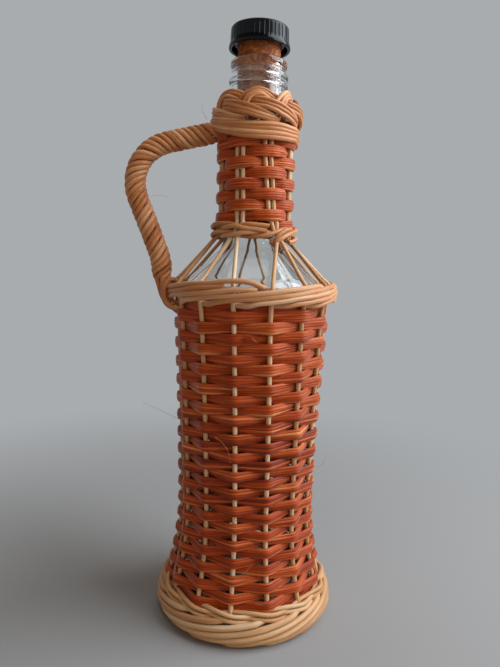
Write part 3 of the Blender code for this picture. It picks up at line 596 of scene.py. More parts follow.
def cork_dents(turn, radius, height):
    reach, least, spread, flat = 0.0305, 0.0006, 0.0008, 0.6
    dents = np.zeros(len(turn))
    for k in range(CORK_DENTS):
        where, middle = hashed(k + 50) - 0.5, CORK_BOTTOM + reach * hashed(k + 90)
        apart = np.abs((turn - where + 0.5) % 1 - 0.5) * TURN * CORK_RADIUS
        size = least + spread * hashed(k + 130)
        dents += CORK_DENT * np.exp(-((apart / size) ** 2) - ((height - middle) / (size * flat)) ** 2)
    return dents * (radius > CORK_RADIUS / 2)


def make_cork(cork):
    """A turned cork with small dents."""
    outline = [
        (0, CORK_TOP, 0),
        (CORK_RADIUS, CORK_TOP, 0.0004),
        (CORK_RADIUS, RIM_HEIGHT, 0),
        (CORK_RADIUS - 0.0003, CORK_BOTTOM, 0.0008),
        (0, CORK_BOTTOM, 0),
    ]
    mesh = lathe("cork", refined(arc(outline, 4), CORK_STEP), CORK_SEGMENTS)
    press_in(mesh, cork_dents)
    settled("cork", mesh, cork, "stopper", "cork", "cork_stopper")


def cap_grooves(turn, radius, height):
    lip, crown, skirt_wall, fade_in, fade_out = 0.0024, 0.0011, 0.0013, 0.0006, 0.0010
    groove = np.clip(1 - np.abs(turn * CAP_RIBS % 1 - 0.5) / GROOVE_SHARE, 0, 1)
    fade = np.clip((height - CAP_BOTTOM - lip) / fade_in, 0, 1)
    fade *= np.clip((CAP_TOP - crown - height) / fade_out, 0, 1)
    return GROOVE_DEPTH * groove * (fade * (radius > CAP_RADIUS - skirt_wall))


def make_cap(plastic):
    """A moulded shell: rounded top, fine grooves on its skirt, a plain lip, a ring inside round the cork."""
    gap, ring_wall, ring_height = 0.0003, 0.0012, 0.0050
    socket, ceiling = CORK_RADIUS + gap, CORK_TOP + gap
    skirt = CAP_RADIUS - 0.0012
    corners = [
        (0, CAP_TOP, 0),
        (CAP_RADIUS - 0.0026, CAP_TOP, 0.0040),
        (CAP_RADIUS - 0.0009, CAP_TOP - 0.0006, 0.0012),
        (CAP_RADIUS - 0.0006, CAP_BOTTOM + 0.0032, 0.0020),
        (CAP_RADIUS, CAP_BOTTOM + 0.0012, 0.0016),
        (CAP_RADIUS, CAP_BOTTOM, 0.0004),
        (CAP_RADIUS - 0.0014, CAP_BOTTOM, 0.0003),
        (CAP_RADIUS - 0.0016, ceiling, 0.0004),
        (socket + ring_wall, ceiling, 0.0002),
        (socket + ring_wall, ceiling - ring_height, 0.0002),
        (socket, ceiling - ring_height, 0.0002),
        (socket, ceiling, 0),
        (0, ceiling, 0),
    ]
    mesh = lathe("ribbed_cap", refined(arc(corners, 5), CAP_STEP, skirt), CAP_RIBS * CAP_RIB_SEGMENTS)
    press_in(mesh, cap_grooves)
    settled("ribbed_cap", mesh, plastic, "stopper", "black_plastic", "stopper_cap")


# Stakes and weaves
def make_stakes(cane):
    """Each stake runs up the body, over the shoulder as a spoke, and up the neck as one of a pair."""
    band_foot, spoke_drop, spoke_out, tuck, settle = 0.0034, 0.0036, 0.0008, 0.0006, 0.0003
    wander, step = 0.012, 0.0016
    neck_bottom, neck_top, spoke_heights = 0.1955, 0.2400, [0.1640, 0.1690, 0.1840, 0.1880]
    body = np.linspace(STAKE_FOOT + 0.0002, STAKE_BODY_TOP - 0.0040, 22)
    for number in range(1, STAKES + 1):
        count = number - PAIRS
        side = 1 if count % 2 == 0 else -1
        pair = math.ceil(count / 2)
        apart = side * PAIR_SPACING / 2 / NECK_LINE
        above = pair_azimuth(pair, 0.1905) + apart
        wound = (pair - NECK_START) / PAIRS % 1
        azimuth = stake_azimuth(count, SHOULDER_BAND_BOTTOM)
        shift = math.radians(SPOKE_SHIFTS.get(count, 0))
        top = NECK_TWINE_BOTTOM + NECK_TWINE_PITCH * wound
        low = at(azimuth, SHOULDER_LINE + spoke_out, SHOULDER_BAND_TOP - spoke_drop)
        high = at(above + shift, NECK_TWINE_LINE + tuck, top)
        knees = [at(stake_azimuth(count, h), stake_line(h), h) for h in body]
        knees.append(at(azimuth, SHOULDER_LINE, SHOULDER_BAND_BOTTOM + band_foot))
        knees += [low + (high - low) * share for share in np.linspace(0, 1, 6)]
        knees.append(at(above + shift * 0.6, NECK_TWINE_LINE - tuck, top + 0.0014))
        knees.append(at(above, NECK_LINE + settle, top + 2 * NECK_TWINE_PITCH - 0.0010))
        weave = NECK_WEAVE_BOTTOM + NECK_WEAVE_PITCH * wound
        for h in np.linspace(max(weave, neck_bottom), neck_top, 8):
            leaned = pair_azimuth(pair, h) + apart + wander * wobble(h / 0.02, number)
            knees.append(at(leaned, NECK_LINE, h))
        line = curve_through(knees, step)
        shares = np.linspace(1, STAKE_TIP_SHARE, len(line))
        shares *= np.interp(line[:, 2], spoke_heights, [1, 0.86, 0.86, 1])
        rod, node = f"rod_{number:02}", f"stake_{number:02}"
        make_strand(rod, line, STAKE_RADIUS * shares, 20 + number, cane, node, wander=0.03)


def row_height(row, rows, bottom, top, growth):
    share = (row + 0.5) / rows
    return bottom + (top - bottom) * (share - growth * share * (1 - share))


def make_reed(name, node, reed, line, tilt, width, thickness, ident, lobes=4):
    """A length of weaver: reeds side by side, each a shallow lobe, whose face leans up by its tilt. Its tint
    darkens the grooves between the lobes and the back as painted shade.
    """
    cup, uneven, groove, raise_by = 0.00030, 0.055, 0.00022, 0.00008
    # How far each lobe's tone wanders, and how much shade is painted into the grooves and onto the back,
    # which faces the glass
    shade, painted_groove_shade, painted_back_shade = 0.25, 0.4, 0.3
    rows = len(line)
    run = run_along(line)
    bounds = np.linspace(0, 1, lobes + 1)[None].repeat(rows, 0)
    for k in range(1, lobes):
        bounds[:, k] += uneven * wobble(run / 0.05, ident * 3 + k)
    place, dip, lobe_of = [], [], []
    for k in range(lobes):
        for share in (0.04, 0.22, 0.5, 0.78, 0.96):
            place.append(bounds[:, k] + (bounds[:, k + 1] - bounds[:, k]) * share)
            dip.append(abs(2 * share - 1) ** 3)
            lobe_of.append(k)
    place, dip = np.stack(place, 1), np.array(dip)
    shape = 2 * place - 1
    edge = np.sqrt(np.clip(1 - np.abs(shape) ** 4 * 0.97, 0, 1))
    raised = np.stack([raise_by * wobble(run / 0.06, ident * 5 + k) for k in lobe_of], 1)
    top = thickness[:, None] / 2 * edge - groove * dip[None] + cup * (1 - shape**2) + raised
    under_place = np.array([0.965, 0.75, 0.5, 0.25, 0.035])
    under_shape = 2 * under_place - 1
    under = -thickness[:, None] / 2 * np.sqrt(1 - np.abs(under_shape) ** 5 * 0.9)[None]
    under = under + (cup * (1 - under_shape**2))[None]
    tones = [hashed(ident * 7 + k) for k in range(lobes)]
    shades = [tones[k] + shade * wobble(run / 0.09, ident * 11 + k) for k in lobe_of]
    # Painted shade: the grooves between the lobes are darkened, and the back gets one dark tone
    tint = np.stack(shades, 1) - painted_groove_shade * dip[None]
    painted_back_tints = np.full((rows, len(under_place)), painted_back_shade)
    # The rim runs against the sweep's turning sense, so both halves are reversed together
    across = np.concatenate([(place - 0.5) * width[:, None], (under_place[None] - 0.5) * width[:, None]], 1)
    out = np.concatenate([top, under], 1)
    tint = np.concatenate([tint, painted_back_tints], 1)
    outward = radial(line)
    outward[:, 2] = tilt
    band = Bundle()
    band.sweep(line, unit(outward), across[:, ::-1], out[:, ::-1], ident, tint[:, ::-1])
    band.build(name, reed, node, slot="dyed_reed")


def make_body_weave(reed):
    """Two weavers chase each other up the body, in and out of the stakes."""
    offset, thickness, step, softness, stray, overlap = 0.0021, 0.00135, 0.0010, 0.0013, 0.00022, 1.115
    steps = math.floor(STAKES * (BODY_ROWS - 1) / 2)
    for weaver in range(2):
        start = BODY_START + weaver * PAIRS
        breaks = [start + round(steps * length / 3) for length in range(4)]
        breaks[0] -= weaver * PAIRS
        for length in range(3):
            first, last = breaks[length], breaks[length + 1]
            # Inner ends butt behind a stake, where they don't show
            if length > 0:
                first = math.ceil(first) + (math.ceil(first) + weaver + 1) % 2
            if length < 2:
                last = math.ceil(last) + (math.ceil(last) + weaver + 1) % 2
            counts = [first + 0.02, *range(math.floor(first) + 1, math.ceil(last)), last - 0.02]
            knees, sides, outs = [], [], []
            for count in counts:
                row = 2 * (count - start) / STAKES
                height = row_height(row, BODY_ROWS, BODY_BOTTOM, BODY_TOP, BODY_GROWTH)
                near = round(count)
                side = (1 - 2 * ((near + weaver) % 2)) * (1 if abs(count - near) < 0.1 else 0)
                place = height + stray * wobble(count * 0.37, weaver + 5)
                azimuth = stake_azimuth(count, place)
                knees.append(at(azimuth, stake_line(place) + side * offset, place))
                sides.append(side)
                outs.append(height)
            line, side, height = resampled(knees, step, softness, (sides, outs))
            share = (height - BODY_BOTTOM) / (BODY_TOP - BODY_BOTTOM)
            pitch = BODY_PITCH * (1 + BODY_GROWTH * (2 * share - 1))
            run = np.arange(len(line)) * step
            flare = 0.06 * np.clip(1.6 - height / 0.03, 0, 1)
            uneven = 0.03 * wobble(run / 0.03, weaver * 3 + length + 40)
            wide = overlap + flare + 0.12 * side + uneven
            slope = (stake_line(height + 0.001) - stake_line(height - 0.001)) / 0.002
            tilt = -slope + 0.05 * wobble(run / 0.045, weaver * 7 + length + 60)
            thick = thickness * (1.05 - 0.12 * side)
            label = f"{'ab'[weaver]}_{length + 1}"
            named, node = f"reed_{label}", f"body_weaver_{label}"
            make_reed(named, node, reed, line, tilt, pitch * wide, thick, weaver * 3 + length + 1)


def make_splice(reed):
    """The slanting end of a new length of reed, which lies on top of the weave near the front."""
    root, waist, tip, half_thickness, proud = 0.0040, 0.0034, 0.0006, 0.0004, 0.0017
    radius = (stake_line(0.143) + proud) * 1000
    places = [(-3.5, radius, 143.0), (-1.0, radius, 143.0), (1.5, radius, 143.1), (4.2, radius, 143.2)]
    line = curve_through(placed(places), 0.0006)
    width = np.interp(np.linspace(0, 1, len(line)), [0, 0.55, 1], [root, waist, tip])
    angle = section(10)
    across = width[:, None] / 2 * np.cos(angle)[None] + (root - width)[:, None] / 2
    out = np.broadcast_to(half_thickness * np.sin(angle), across.shape)
    splice = Bundle()
    splice.sweep(line, radial(line), across, out, 320, 0.1)
    splice.build("reed_splice", reed, slot="dyed_reed")


def make_fibres(cane):
    """A few stray fibres that stand off the reeds and canes, as thin as hairs."""
    fibres, thickest = Bundle(), 0.00009
    routes = [
        [(-80, 35.0, 97), (-84, 38.5, 98), (-87, 46.0, 101), (-89, 54.0, 104)],
        [(-22, 38.6, 98), (-16, 39.6, 96), (-12, 39.8, 92), (-11, 38.8, 87)],
        [(-5, 43.8, 36), (0, 44.6, 38), (5, 43.4, 42)],
        [(-84, 51.0, 206), (-86, 46.0, 207), (-88, 41.0, 206)],
        [(-84, 24.0, 243), (-85, 26.0, 246), (-86, 26.5, 250)],
        [(8, 42.0, 22), (12, 43.6, 22.5), (16, 43.8, 25)],
        [(62, 38.0, 78), (66, 40.4, 80), (69, 42.0, 84)],
    ]
    for index, places in enumerate(routes):
        line = curve_through(placed(places), 0.0010)
        fibres.strand(line, thickest * np.linspace(1, 0.5, len(line)), 400 + index, 5, wander=0)
    fibres.build("stray_fibres", cane)


def make_liners(reed):
    """Single reeds level behind the stakes, where the weave meets the bands, and on the body. The one on the
    body is put there as shade: it hides the glass's highlights behind the weave's gaps.
    """
    samples, sides, half_thickness, stray = 160, 10, 0.0004, 0.0003
    angle, liner = section(sides), Bundle()
    for ident, (radius, height, width) in enumerate(LINERS):
        azimuth = np.linspace(0, TURN, samples, endpoint=False)
        line = at(azimuth, radius, height + stray * wobble(azimuth / TURN * 3, 300 + ident))
        across = np.broadcast_to(width / 2 * np.cos(angle), (samples, sides))
        out = np.broadcast_to(half_thickness * np.sin(angle), (samples, sides))
        liner.sweep(line, radial(line), across, out, 310 + ident, 0.35, closed=True)
    liner.build("reed_liners", reed, slot="dyed_reed")


def make_neck_weave(reed):
    """One weaver climbs the neck, over and under the pairs of stakes."""
    offset, step, softness, thickness, overlap = STAKE_RADIUS * 0.9 + 0.0007, 0.0009, 0.0011, 0.0014, 1.06
    half_pair = (PAIR_SPACING / 2 + 0.0008) / (NECK_LINE * PAIR_STEP)
    last = NECK_START + PAIRS * (NECK_ROWS - 1) + 5.4
    counts, sides = [NECK_START - 0.5, NECK_START], [-1, 0]
    for pair in range(math.ceil(NECK_START), math.ceil(last)):
        side = 1 if pair % 2 == 0 or pair == NECK_DOUBLE else -1
        counts += [pair - half_pair, pair + half_pair, pair + 0.5]
        sides += [side, side, 0]
    knees, wide = [], []
    for count, side in zip(counts, sides):
        height = row_height((count - NECK_START) / PAIRS, NECK_ROWS, NECK_WEAVE_BOTTOM, NECK_WEAVE_TOP, 0)
        between = 0 if side else 0.0005
        knees.append(at(pair_azimuth(count, height), NECK_LINE + side * offset + between, height))
        wide.append(side)
    line, side = resampled(knees, step, softness, (wide,))
    run = np.arange(len(line)) * step
    tilt = 0.06 * wobble(run / 0.04, 77)
    width = NECK_WEAVE_PITCH * (overlap + 0.10 * side + 0.03 * wobble(run / 0.03, 78))
    thick = thickness * (1.05 - 0.1 * side)
    make_reed("neck_reed", "neck_weaver", reed, line, tilt, width, thick, 9, 5)


def make_pairing(cane, strand):
    """Two strands that twist about each other between the stakes' feet, for two rows."""
    radius, start, offset, step = 0.00102, 6.5, 0.0016, 0.0012
    bottom, rise, ring, draw_in = 0.0129, 0.0024, 0.0404, 0.0003
    knees = []
    for group in range(math.ceil(start), math.ceil(start) + STAKES * 2 - 2):
        side = 1 - 2 * ((group + strand) % 2)
        bends = [(-0.22, 0.7 * side, 0.6 * side), (0, side, 0)]
        bends += [(0.22, 0.7 * side, -0.6 * side), (0.5, 0, -side)]
        for share, out, fall in bends:
            row = min(max(((group + share - start) / STAKES - 1) * PAIRS + 1, 0), 1)
            height = bottom + rise * row
            azimuth = stake_azimuth(group + share, height)
            knees.append(at(azimuth, ring - draw_in * row + out * offset, height + fall * radius * 0.85))
    cord, node = f"foot_cord_{'ab'[strand]}", f"foot_twine_{'ab'[strand]}"
    make_strand(cord, curve_through(knees, step), radius, 120 + strand, cane, node)


def make_neck_band(cane):
    """Two thick strands twisted round the neck's foot, knotted at the start and cut in front."""
    radius, step = 0.00106, 0.0010
    # Degrees from the front, and height in millimetres
    climb = [
        (52, 186.9), (85, 187.8), (180, 188.4), (275, 189.2), (330, 189.2), (352, 188.8), (375, 189.3),
        (392, 190.4), (415, 191.4), (445, 192.2), (540, 192.9), (635, 193.2), (700, 193.0), (740, 191.9),
    ]
    turned, level = np.array(climb).T
    # Half a twist from one pair to the next, in degrees
    half_twist, phased, reach, proud = 51.43, 27.6, 0.0019, 0.0004
    tail, tail_radius = 40, 0.0196
    for strand in range(2):
        knees = []
        # The strands' ends lie a little apart
        first, last = turned[0] + 6 * strand, turned[-1] - 3 * strand
        for degrees in np.linspace(first, last, int((last - first) / 8)):
            middle = np.interp(degrees, turned, level) / 1000
            phase = ((degrees - phased) / half_twist + strand) * math.pi
            out, over = math.cos(phase), math.sin(phase)
            square = np.sign(over) * abs(over) ** 0.6
            line_radius = NECK_TWINE_LINE + reach * np.sign(out) * abs(out) ** 0.7 + proud
            if degrees > last - tail:
                line_radius = max(line_radius, tail_radius + 0.0003 * strand)
                square = 1 - 2 * strand
            knees.append(at(math.radians(degrees), line_radius, middle + square * radius * 0.98))
        line = curve_through(smooth(np.array(knees), 0.7), step)
        cord, node = f"neck_cord_{'ab'[strand]}", f"neck_twine_{'ab'[strand]}"
        make_strand(cord, line, radius, 130 + strand, cane, node, sides=12, wander=0.05)
    knots = [
        [(70, 18.6, 192.6), (57, 20.2, 192.2), (45, 21.2, 191.6), (37, 21.5, 190.2), (31, 21.6, 188.6),
         (28, 21.2, 186.8), (28, 20.0, 185.2), (31, 18.6, 184.6)],
        [(24, 18.8, 185.6), (28, 20.8, 186.0), (33, 21.6, 187.0), (39, 21.8, 188.3), (47, 21.4, 189.5),
         (60, 20.6, 190.6), (74, 19.4, 191.4)],
    ]
    knot = Bundle()
    for index, places in enumerate(knots):
        knot.strand(curve_through(placed(places), 0.0009), radius, 136 + index, 12)
    knot.build("neck_knot", cane)


def make_shoulder_band(cane):
    """A five-rod wale: each rod passes outside four stakes and in behind the next, climbing as it goes."""
    radius, rods, rise, bottom = 0.00120, 5, 0.0104, 0.1576
    middle, left, last = bottom + rise / 2, -2.6, STAKES - 2.72
    long_droop, droop, lift, droop_reach = 0.0034, 0.0012, 0.0004, 0.62
    least, spread, stray, step, softness = 0.0005, 0.0012, 0.00035, 0.0011, 0.0017
    nodes = {-2: ["shoulder_twine_a"], -1: ["shoulder_twine_b"]}
    # Each rod's first stake and where it stops
    starts = [(-5, 0.80), (-4, -0.02), (-3, 0.62), (-2, last), (-1, last), (0, last), (1, last), (2, last)]
    for index, (rod, stop) in enumerate(starts):
        knees = []
        for count in np.arange(max(left, rod), stop + 0.01, 0.2):
            phase = ((count - rod) / rods) % 1 if stop == last else min((count - rod) / rods, 1)
            near = (phase if phase < 0.5 else phase - 1) * rods
            starting = count - rod < 0.5
            inside = abs(near) < 0.5 and (starting or stop == last)
            height = middle - rise * (1 - 1 / rods) * near if inside else middle + rise * (phase - 0.5)
            if starting:
                height = bottom
            side = 2 * abs(near) * 2 - 1 if inside else 1
            if stop < last:
                # A short end droops to its cut
                deep = long_droop if index == 0 else droop
                height += lift - deep * max(0, 1 - (stop - count) / droop_reach) ** 2
            swell = math.sin(math.pi * min(phase * 1.15, 1))
            length = math.floor((count - rod) / rods)
            bulge = (least + spread * hashed(rod + 70 + length * 0.37)) * swell
            height += stray * wobble(count / 2.3, 160 + index)
            azimuth = stake_azimuth(count, height)
            knees.append(at(azimuth, SHOULDER_LINE + side * (STAKE_RADIUS + radius) + bulge, height))
        line, named = resampled(knees, step, softness), f"shoulder_rod_{'abcdefgh'[index]}"
        make_strand(named, line, radius, 140 + index, cane, *nodes.get(rod, []), sides=12)


def make_border(cane):
    """The foot's border: each stake's tail turns aside and lies below the ones before it."""
    radius, span, samples, top, fall, ring = 0.00142, 4.7, 40, 0.0132, 0.0119, 0.0422
    bulge, draw_in, tuck, turn_in, step = 0.0017, 0.0022, 0.006, 0.0026, 0.0016
    tails = Bundle()
    for tail in range(STAKES):
        knees = []
        start = stake_azimuth(tail, STAKE_FOOT) + 0.05
        for steps in np.linspace(0, span, samples):
            level = np.clip((steps - 0.1) / 4, 0, 1)
            line_radius = ring + bulge * np.sin(level * math.pi * 0.66)
            line_radius -= draw_in * np.clip(level - 0.68, 0, 1) / 0.32
            line_radius -= tuck * max(steps - 4.1, 0) + turn_in * max(1 - steps / 0.5, 0)
            height = max(top - fall * level, radius + 0.00005)
            knees.append(at(start - steps * STAKE_STEP, line_radius, height))
        tails.strand(curve_through(knees, step), radius, 170 + tail, 12, wander=0.03)
    tails.build("border_tails", cane, "foot_border")


def make_collar(cane):
    """Seven bundles of three canes: each rises from inside, arcs over, then runs down across the outside."""
    upper = [
        (-27, 18.4, 245.0), (-24, 19.0, 247.6), (-18, 18.8, 250.2), (-11, 18.1, 252.0), (-4, 17.4, 253.0),
        (4, 16.7, 253.3), (12, 16.2, 252.9), (21, 15.8, 252.0), (31, 15.8, 250.6), (40, 16.9, 249.3),
        (50, 18.8, 248.5), (62, 20.2, 247.8), (74, 20.8, 246.8), (86, 20.9, 245.5), (98, 20.7, 244.2),
        (110, 20.2, 242.9), (122, 19.3, 241.9), (136, 17.9, 241.2),
    ]
    lower = [
        (-19, 18.2, 241.8), (-16.5, 19.0, 244.6), (-14.5, 19.4, 247.2), (-12, 19.3, 248.9), (-8, 18.9, 250.2),
        (-1, 18.3, 251.1), (6, 17.6, 251.1), (14, 16.9, 250.3), (23, 16.2, 249.2), (32, 16.4, 247.9),
        (42, 17.9, 246.8), (52, 19.5, 246.0), (63, 20.5, 245.2), (74, 20.9, 244.1), (85, 20.9, 242.9),
        (97, 20.6, 241.7), (109, 20.0, 240.8), (121, 19.1, 240.3), (136, 17.6, 240.0),
    ]
    radius, samples, step, stray, proud = 0.00096, 64, 0.0005, 0.00022, 0.00015
    edges = []
    for places in (upper, lower):
        line = curve_through(placed(places), step)
        share = np.linspace(0, len(line) - 1, samples)
        edges.append(sampled(share, np.arange(len(line)), line))
    for bundle in range(COLLAR_BUNDLES):
        turn = Matrix.Rotation(bundle * TURN / COLLAR_BUNDLES, 3, "Z")
        canes = Bundle()
        for strand, share in enumerate((-0.16, 0.5, 1.16)):
            line = (edges[0] * (1 - share) + edges[1] * share) @ np.array(turn).T
            aside = stray * wobble(np.linspace(0, 2.2, len(line)), 210 + bundle * 3 + strand)
            line[:, 2] += aside
            line += radial(line) * (aside / 2 + proud * (strand == 1))[:, None]
            canes.strand(line, radius, 200 + bundle * 3 + strand, wander=0.03)
        nodes = ["neck_collar"] if bundle == 0 else []
        canes.build(f"collar_bundle_{bundle + 1}", cane, *nodes)


def make_wraps(cane):
    """Four canes round the neck below the collar, which rise on the left and cross over the handle's top."""
    bundle, radius, step, strands = Bundle(), 0.00112, 0.0012, 4
    # Degrees from the front, height of the top and the lowest cane, and radius
    front = [
        (-112, 241.6, 239.4, 21.4), (-98, 242.9, 240.2, 21.6), (-86, 242.5, 239.4, 21.2),
        (-72, 241.2, 237.9, 20.4), (-58, 240.1, 236.3, 19.9), (-44, 239.1, 235.0, 19.6),
        (-26, 238.2, 233.3, 19.5), (-10, 237.9, 232.5, 19.5), (4, 237.9, 232.2, 19.5),
        (20, 238.1, 232.3, 19.5), (36, 238.1, 232.5, 19.5), (53, 237.8, 232.8, 19.5),
        (69, 237.6, 233.0, 19.5), (110, 237.8, 232.6, 19.5), (160, 238.2, 232.4, 19.5),
        (200, 238.8, 233.6, 19.6), (232, 240.2, 236.6, 20.2), (246, 240.8, 238.4, 20.6),
    ]
    for strand in range(strands):
        share = strand / (strands - 1)
        places = []
        for degrees, top, low, line_radius in front:
            out = line_radius + 0.25 * wobble(degrees / 120, 240 + strand) + 0.25 * (strand == 2)
            places.append((degrees, out, top + (low - top) * share))
        bundle.strand(curve_through(placed(places), step), radius, 230 + strand, 12, wander=0.03)
    bundle.build("neck_wraps", cane, "collar_wrap")


# Handle
def handle_path(samples):
    """Places (radius, height) and normals along the handle's centre line, and its length."""
    corners = [
        (0.0172, 0.2379, 0), (0.0647, 0.2262, 0.0195), (0.0449, 0.1765, 0.0150), (0.0440, 0.1585, 0.0065),
        (0.0340, 0.1505, 0),
    ]
    line = np.array(arc(corners, 24))
    run = run_along(line)
    even = smooth(sampled(np.linspace(0, run[-1], 500), run, line), 10)
    run = run_along(even)
    heading = np.gradient(even, run, axis=0)
    wanted = np.asarray(samples) * run[-1]
    tangents = unit(sampled(wanted, run, heading))
    normals = np.stack([-tangents[:, 1], tangents[:, 0]], 1)
    return sampled(wanted, run, even), normals, run[-1]


def in_plane(vectors):
    """Handle-plane vectors (outward, up) as vectors in space."""
    return at(HANDLE_AZIMUTH, vectors[:, 0], vectors[:, 1])


def make_handle(cane, rod):
    """A bent rod roped with six round canes at a slant, which flatten and tuck in below the shoulder band."""
    rod_radius, rod_start, rod_end = 0.0029, 0.04, 0.83
    places, normals, length = handle_path(np.linspace(rod_start, rod_end, 90))
    line, outward = in_plane(places), in_plane(normals)
    make_strand("handle_rod", line, rod_radius, 300, rod, "handle_core", slot="pale_rod", outward=outward)

    canes, width, thickness, lead, reach = 6, 0.00240, 0.0023, 0.0180, 0.00400
    # The rope thins a little from the knee on and at its top, and flattens at its foot
    knee, knee_blend, thinner, top_blend, top_thinner = 0.045, 0.04, 0.00010, 0.006, 0.0009
    foot_start, foot_blend, unwound, flatter, narrower = 0.026, 0.012, 0.021, 0.62, 0.10
    samples = np.linspace(0.0, 1.0, 340)
    places, normals, length = handle_path(samples)
    run, middle, normal = samples * length, in_plane(places), in_plane(normals)
    sideways = at(HANDLE_AZIMUTH + TURN / 4, 1, 0)[None].repeat(len(samples), 0)
    reach = reach - thinner * np.clip((run - knee) / knee_blend, 0, 1)
    reach -= top_thinner * np.clip(1 - run / top_blend, 0, 1)
    flat = np.clip((foot_start - (length - run)) / foot_blend, 0, 1)
    flat = flat * flat * (3 - 2 * flat)
    twist = np.minimum(run, length - unwound) / lead
    theta = section(14)
    box = np.abs(np.cos(theta)) ** 0.85 * np.sign(np.cos(theta))
    rope = Bundle()
    for index in range(canes):
        closer = (index % 2 - 0.5) * (0.022 + 0.022 * wobble(run / 0.035, 300 + index // 2))
        angle = TURN * (index / canes - twist - closer)
        swell = 1 + 0.03 * wobble(run / 0.012, 310 + index)
        along_normal = np.cos(angle) * reach * (1 - flatter * flat) * swell
        along_side = np.sin(angle) * reach * (1 - narrower * flat) * swell
        line = middle + normal * along_normal[:, None] + sideways * along_side[:, None]
        outward = normal * np.cos(angle)[:, None] + sideways * np.sin(angle)[:, None]
        across = (width / 2 * box)[None] * (1 + 0.06 * wobble(run / 0.02, 320 + index))[:, None]
        out = np.broadcast_to((thickness / 2 * np.sin(theta))[None], across.shape)
        rope.sweep(line, outward, across, out, 330 + index, 0.2 + 0.6 * hashed(340 + index))
    rope.build("handle_rope", cane, "handle_wrap")


def make_handle_foot(cane):
    """Two loops of cane over the shoulder band beside the handle's foot."""
    foot, radius, deeper, step = Bundle(), 0.00118, 0.0005, 0.0010
    aside, apart = math.radians(9.2), math.radians(3.4)
    for index in range(2):
        azimuth = HANDLE_AZIMUTH + aside + apart * index
        places = [
            (-0.04, 0.0372, 0.1655), (-0.02, 0.0388, 0.1668), (-0.005, 0.0412, 0.1670), (0, 0.0432, 0.1650),
            (0.005, 0.0440, 0.1620), (0.01, 0.0436, 0.1580), (0.02, 0.0418, 0.1549), (0.03, 0.0390, 0.1534),
            (0.04, 0.0364, 0.1532),
        ]
        knees = [at(azimuth + turn, out - deeper * index, height) for turn, out, height in places]
        foot.strand(curve_through(knees, step), radius, 355 + index)
    foot.build("handle_foot", cane, "handle_lashing")


# Stage, lights and camera
def make_stage():
    """A pale floor that curves up all round. Away from the object it shows one even colour to the camera."""
    make = Shader("pale_stage", 0.9)
    make.shader.inputs["Base Color"].default_value = (*STAGE_COLOUR, 1)
    glow = make.node("ShaderNodeEmission", Strength=1.0)
    glow.inputs["Color"].default_value = (*BACKDROP_COLOUR, 1)
    path = make.node("ShaderNodeLightPath").outputs
    seen = make.math("MAXIMUM", path["Is Camera Ray"], path["Is Glossy Ray"])
    seen = make.math("MAXIMUM", seen, path["Is Transmission Ray"])
    away = make.node("ShaderNodeVectorMath")
    away.operation = "LENGTH"
    make.join(make.node("ShaderNodeNewGeometry").outputs["Position"], away.inputs[0])
    far = make.node("ShaderNodeMapRange", From_Min=FADE_START, From_Max=FADE_END)
    far.interpolation_type = "SMOOTHSTEP"
    make.join(away.outputs["Value"], far.inputs["Value"])
    blend = make.node("ShaderNodeMixShader")
    make.join(make.math("MULTIPLY", seen, far.outputs[0]), blend.inputs[0])
    make.join(make.shader.outputs[0], blend.inputs[1])
    make.join(glow.outputs[0], blend.inputs[2])
    make.join(blend.outputs[0], make.tree.nodes["Material Output"].inputs["Surface"])
    outline, steps = [(STAGE_RADIUS, STAGE_HEIGHT), (STAGE_RADIUS, STAGE_CURVE)], 12
    for step in range(1, steps + 1):
        turn = step / steps * TURN / 4
        inner = STAGE_RADIUS - STAGE_CURVE
        outline.append((inner + STAGE_CURVE * math.cos(turn), STAGE_CURVE * (1 - math.sin(turn))))
    outline.append((0, 0))
    mesh = lathe("stage", outline, 96)
    mesh.flip_normals()
    floor = linked("stage", mesh)
    mesh.materials.append(make.material)
    floor.location.z = -0.00005


def make_lamp(name, place, target, size, watts, colour, glossy):
    data = bpy.data.lights.new(name, "AREA")
    data.shape = "RECTANGLE"
    data.size, data.size_y = size
    data.energy = watts
    data.color = colour
    lamp = linked(name, data)
    lamp.location = place
    lamp.rotation_euler = (Vector(target) - Vector(place)).to_track_quat("-Z", "Y").to_euler()
    lamp.visible_glossy = glossy


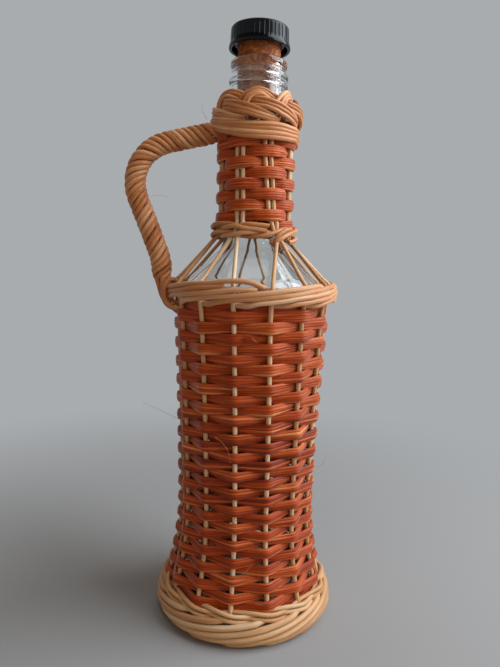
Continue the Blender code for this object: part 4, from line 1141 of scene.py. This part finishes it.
def make_lights():
    for lamp in LAMPS:
        make_lamp(*lamp)
    world = bpy.data.worlds.new("room")
    world.use_nodes = True
    world.node_tree.nodes["Background"].inputs["Color"].default_value = (*ROOM_COLOUR, 1)
    world.node_tree.nodes["Background"].inputs["Strength"].default_value = ROOM_STRENGTH
    bpy.context.scene.world = world
    bpy.context.scene.view_settings.view_transform = "Standard"


def make_camera():
    data = bpy.data.cameras.new("camera")
    data.lens = FOCAL_PIXELS / PHOTO_HEIGHT * SENSOR
    data.sensor_width = SENSOR
    data.clip_start = 0.01
    data.shift_x = SHIFT_PIXELS / PHOTO_HEIGHT
    camera = linked("camera", data)
    aim = Matrix.Rotation(TURN / 4 - CAMERA_PITCH, 4, "X") @ Matrix.Rotation(CAMERA_ROLL, 4, "Z")
    camera.matrix_world = Matrix.Translation(CAMERA_PLACE) @ aim
    bpy.context.scene.camera = camera


def main():
    glass, cork, plastic = glass_material(), cork_material(), plastic_material()
    reed = reed_material()
    cane = cane_material("pale_cane", (0.42, 0.165, 0.050), (0.66, 0.365, 0.165), (0.79, 0.59, 0.39))
    amber = cane_material("amber_cane", (0.29, 0.078, 0.018), (0.57, 0.210, 0.064), (0.85, 0.50, 0.26))
    honey = cane_material("honey_cane", (0.36, 0.112, 0.028), (0.63, 0.275, 0.105), (0.79, 0.53, 0.32))
    rod = cane_material("pale_rod", (0.40, 0.20, 0.08), (0.58, 0.35, 0.17), (0.74, 0.52, 0.30))
    make_camera()
    make_glass(glass)
    make_thread(glass)
    make_cork(cork)
    make_cap(plastic)
    make_stakes(cane)
    make_body_weave(reed)
    make_neck_weave(reed)
    make_liners(reed)
    make_splice(reed)
    make_fibres(amber)
    for strand in range(2):
        make_pairing(cane, strand)
    make_neck_band(honey)
    make_shoulder_band(honey)
    make_border(cane)
    make_collar(amber)
    make_wraps(amber)
    make_handle(amber, rod)
    make_handle_foot(amber)
    make_stage()
    make_lights()


for obj in list(bpy.data.objects):
    bpy.data.objects.remove(obj)
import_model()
main()
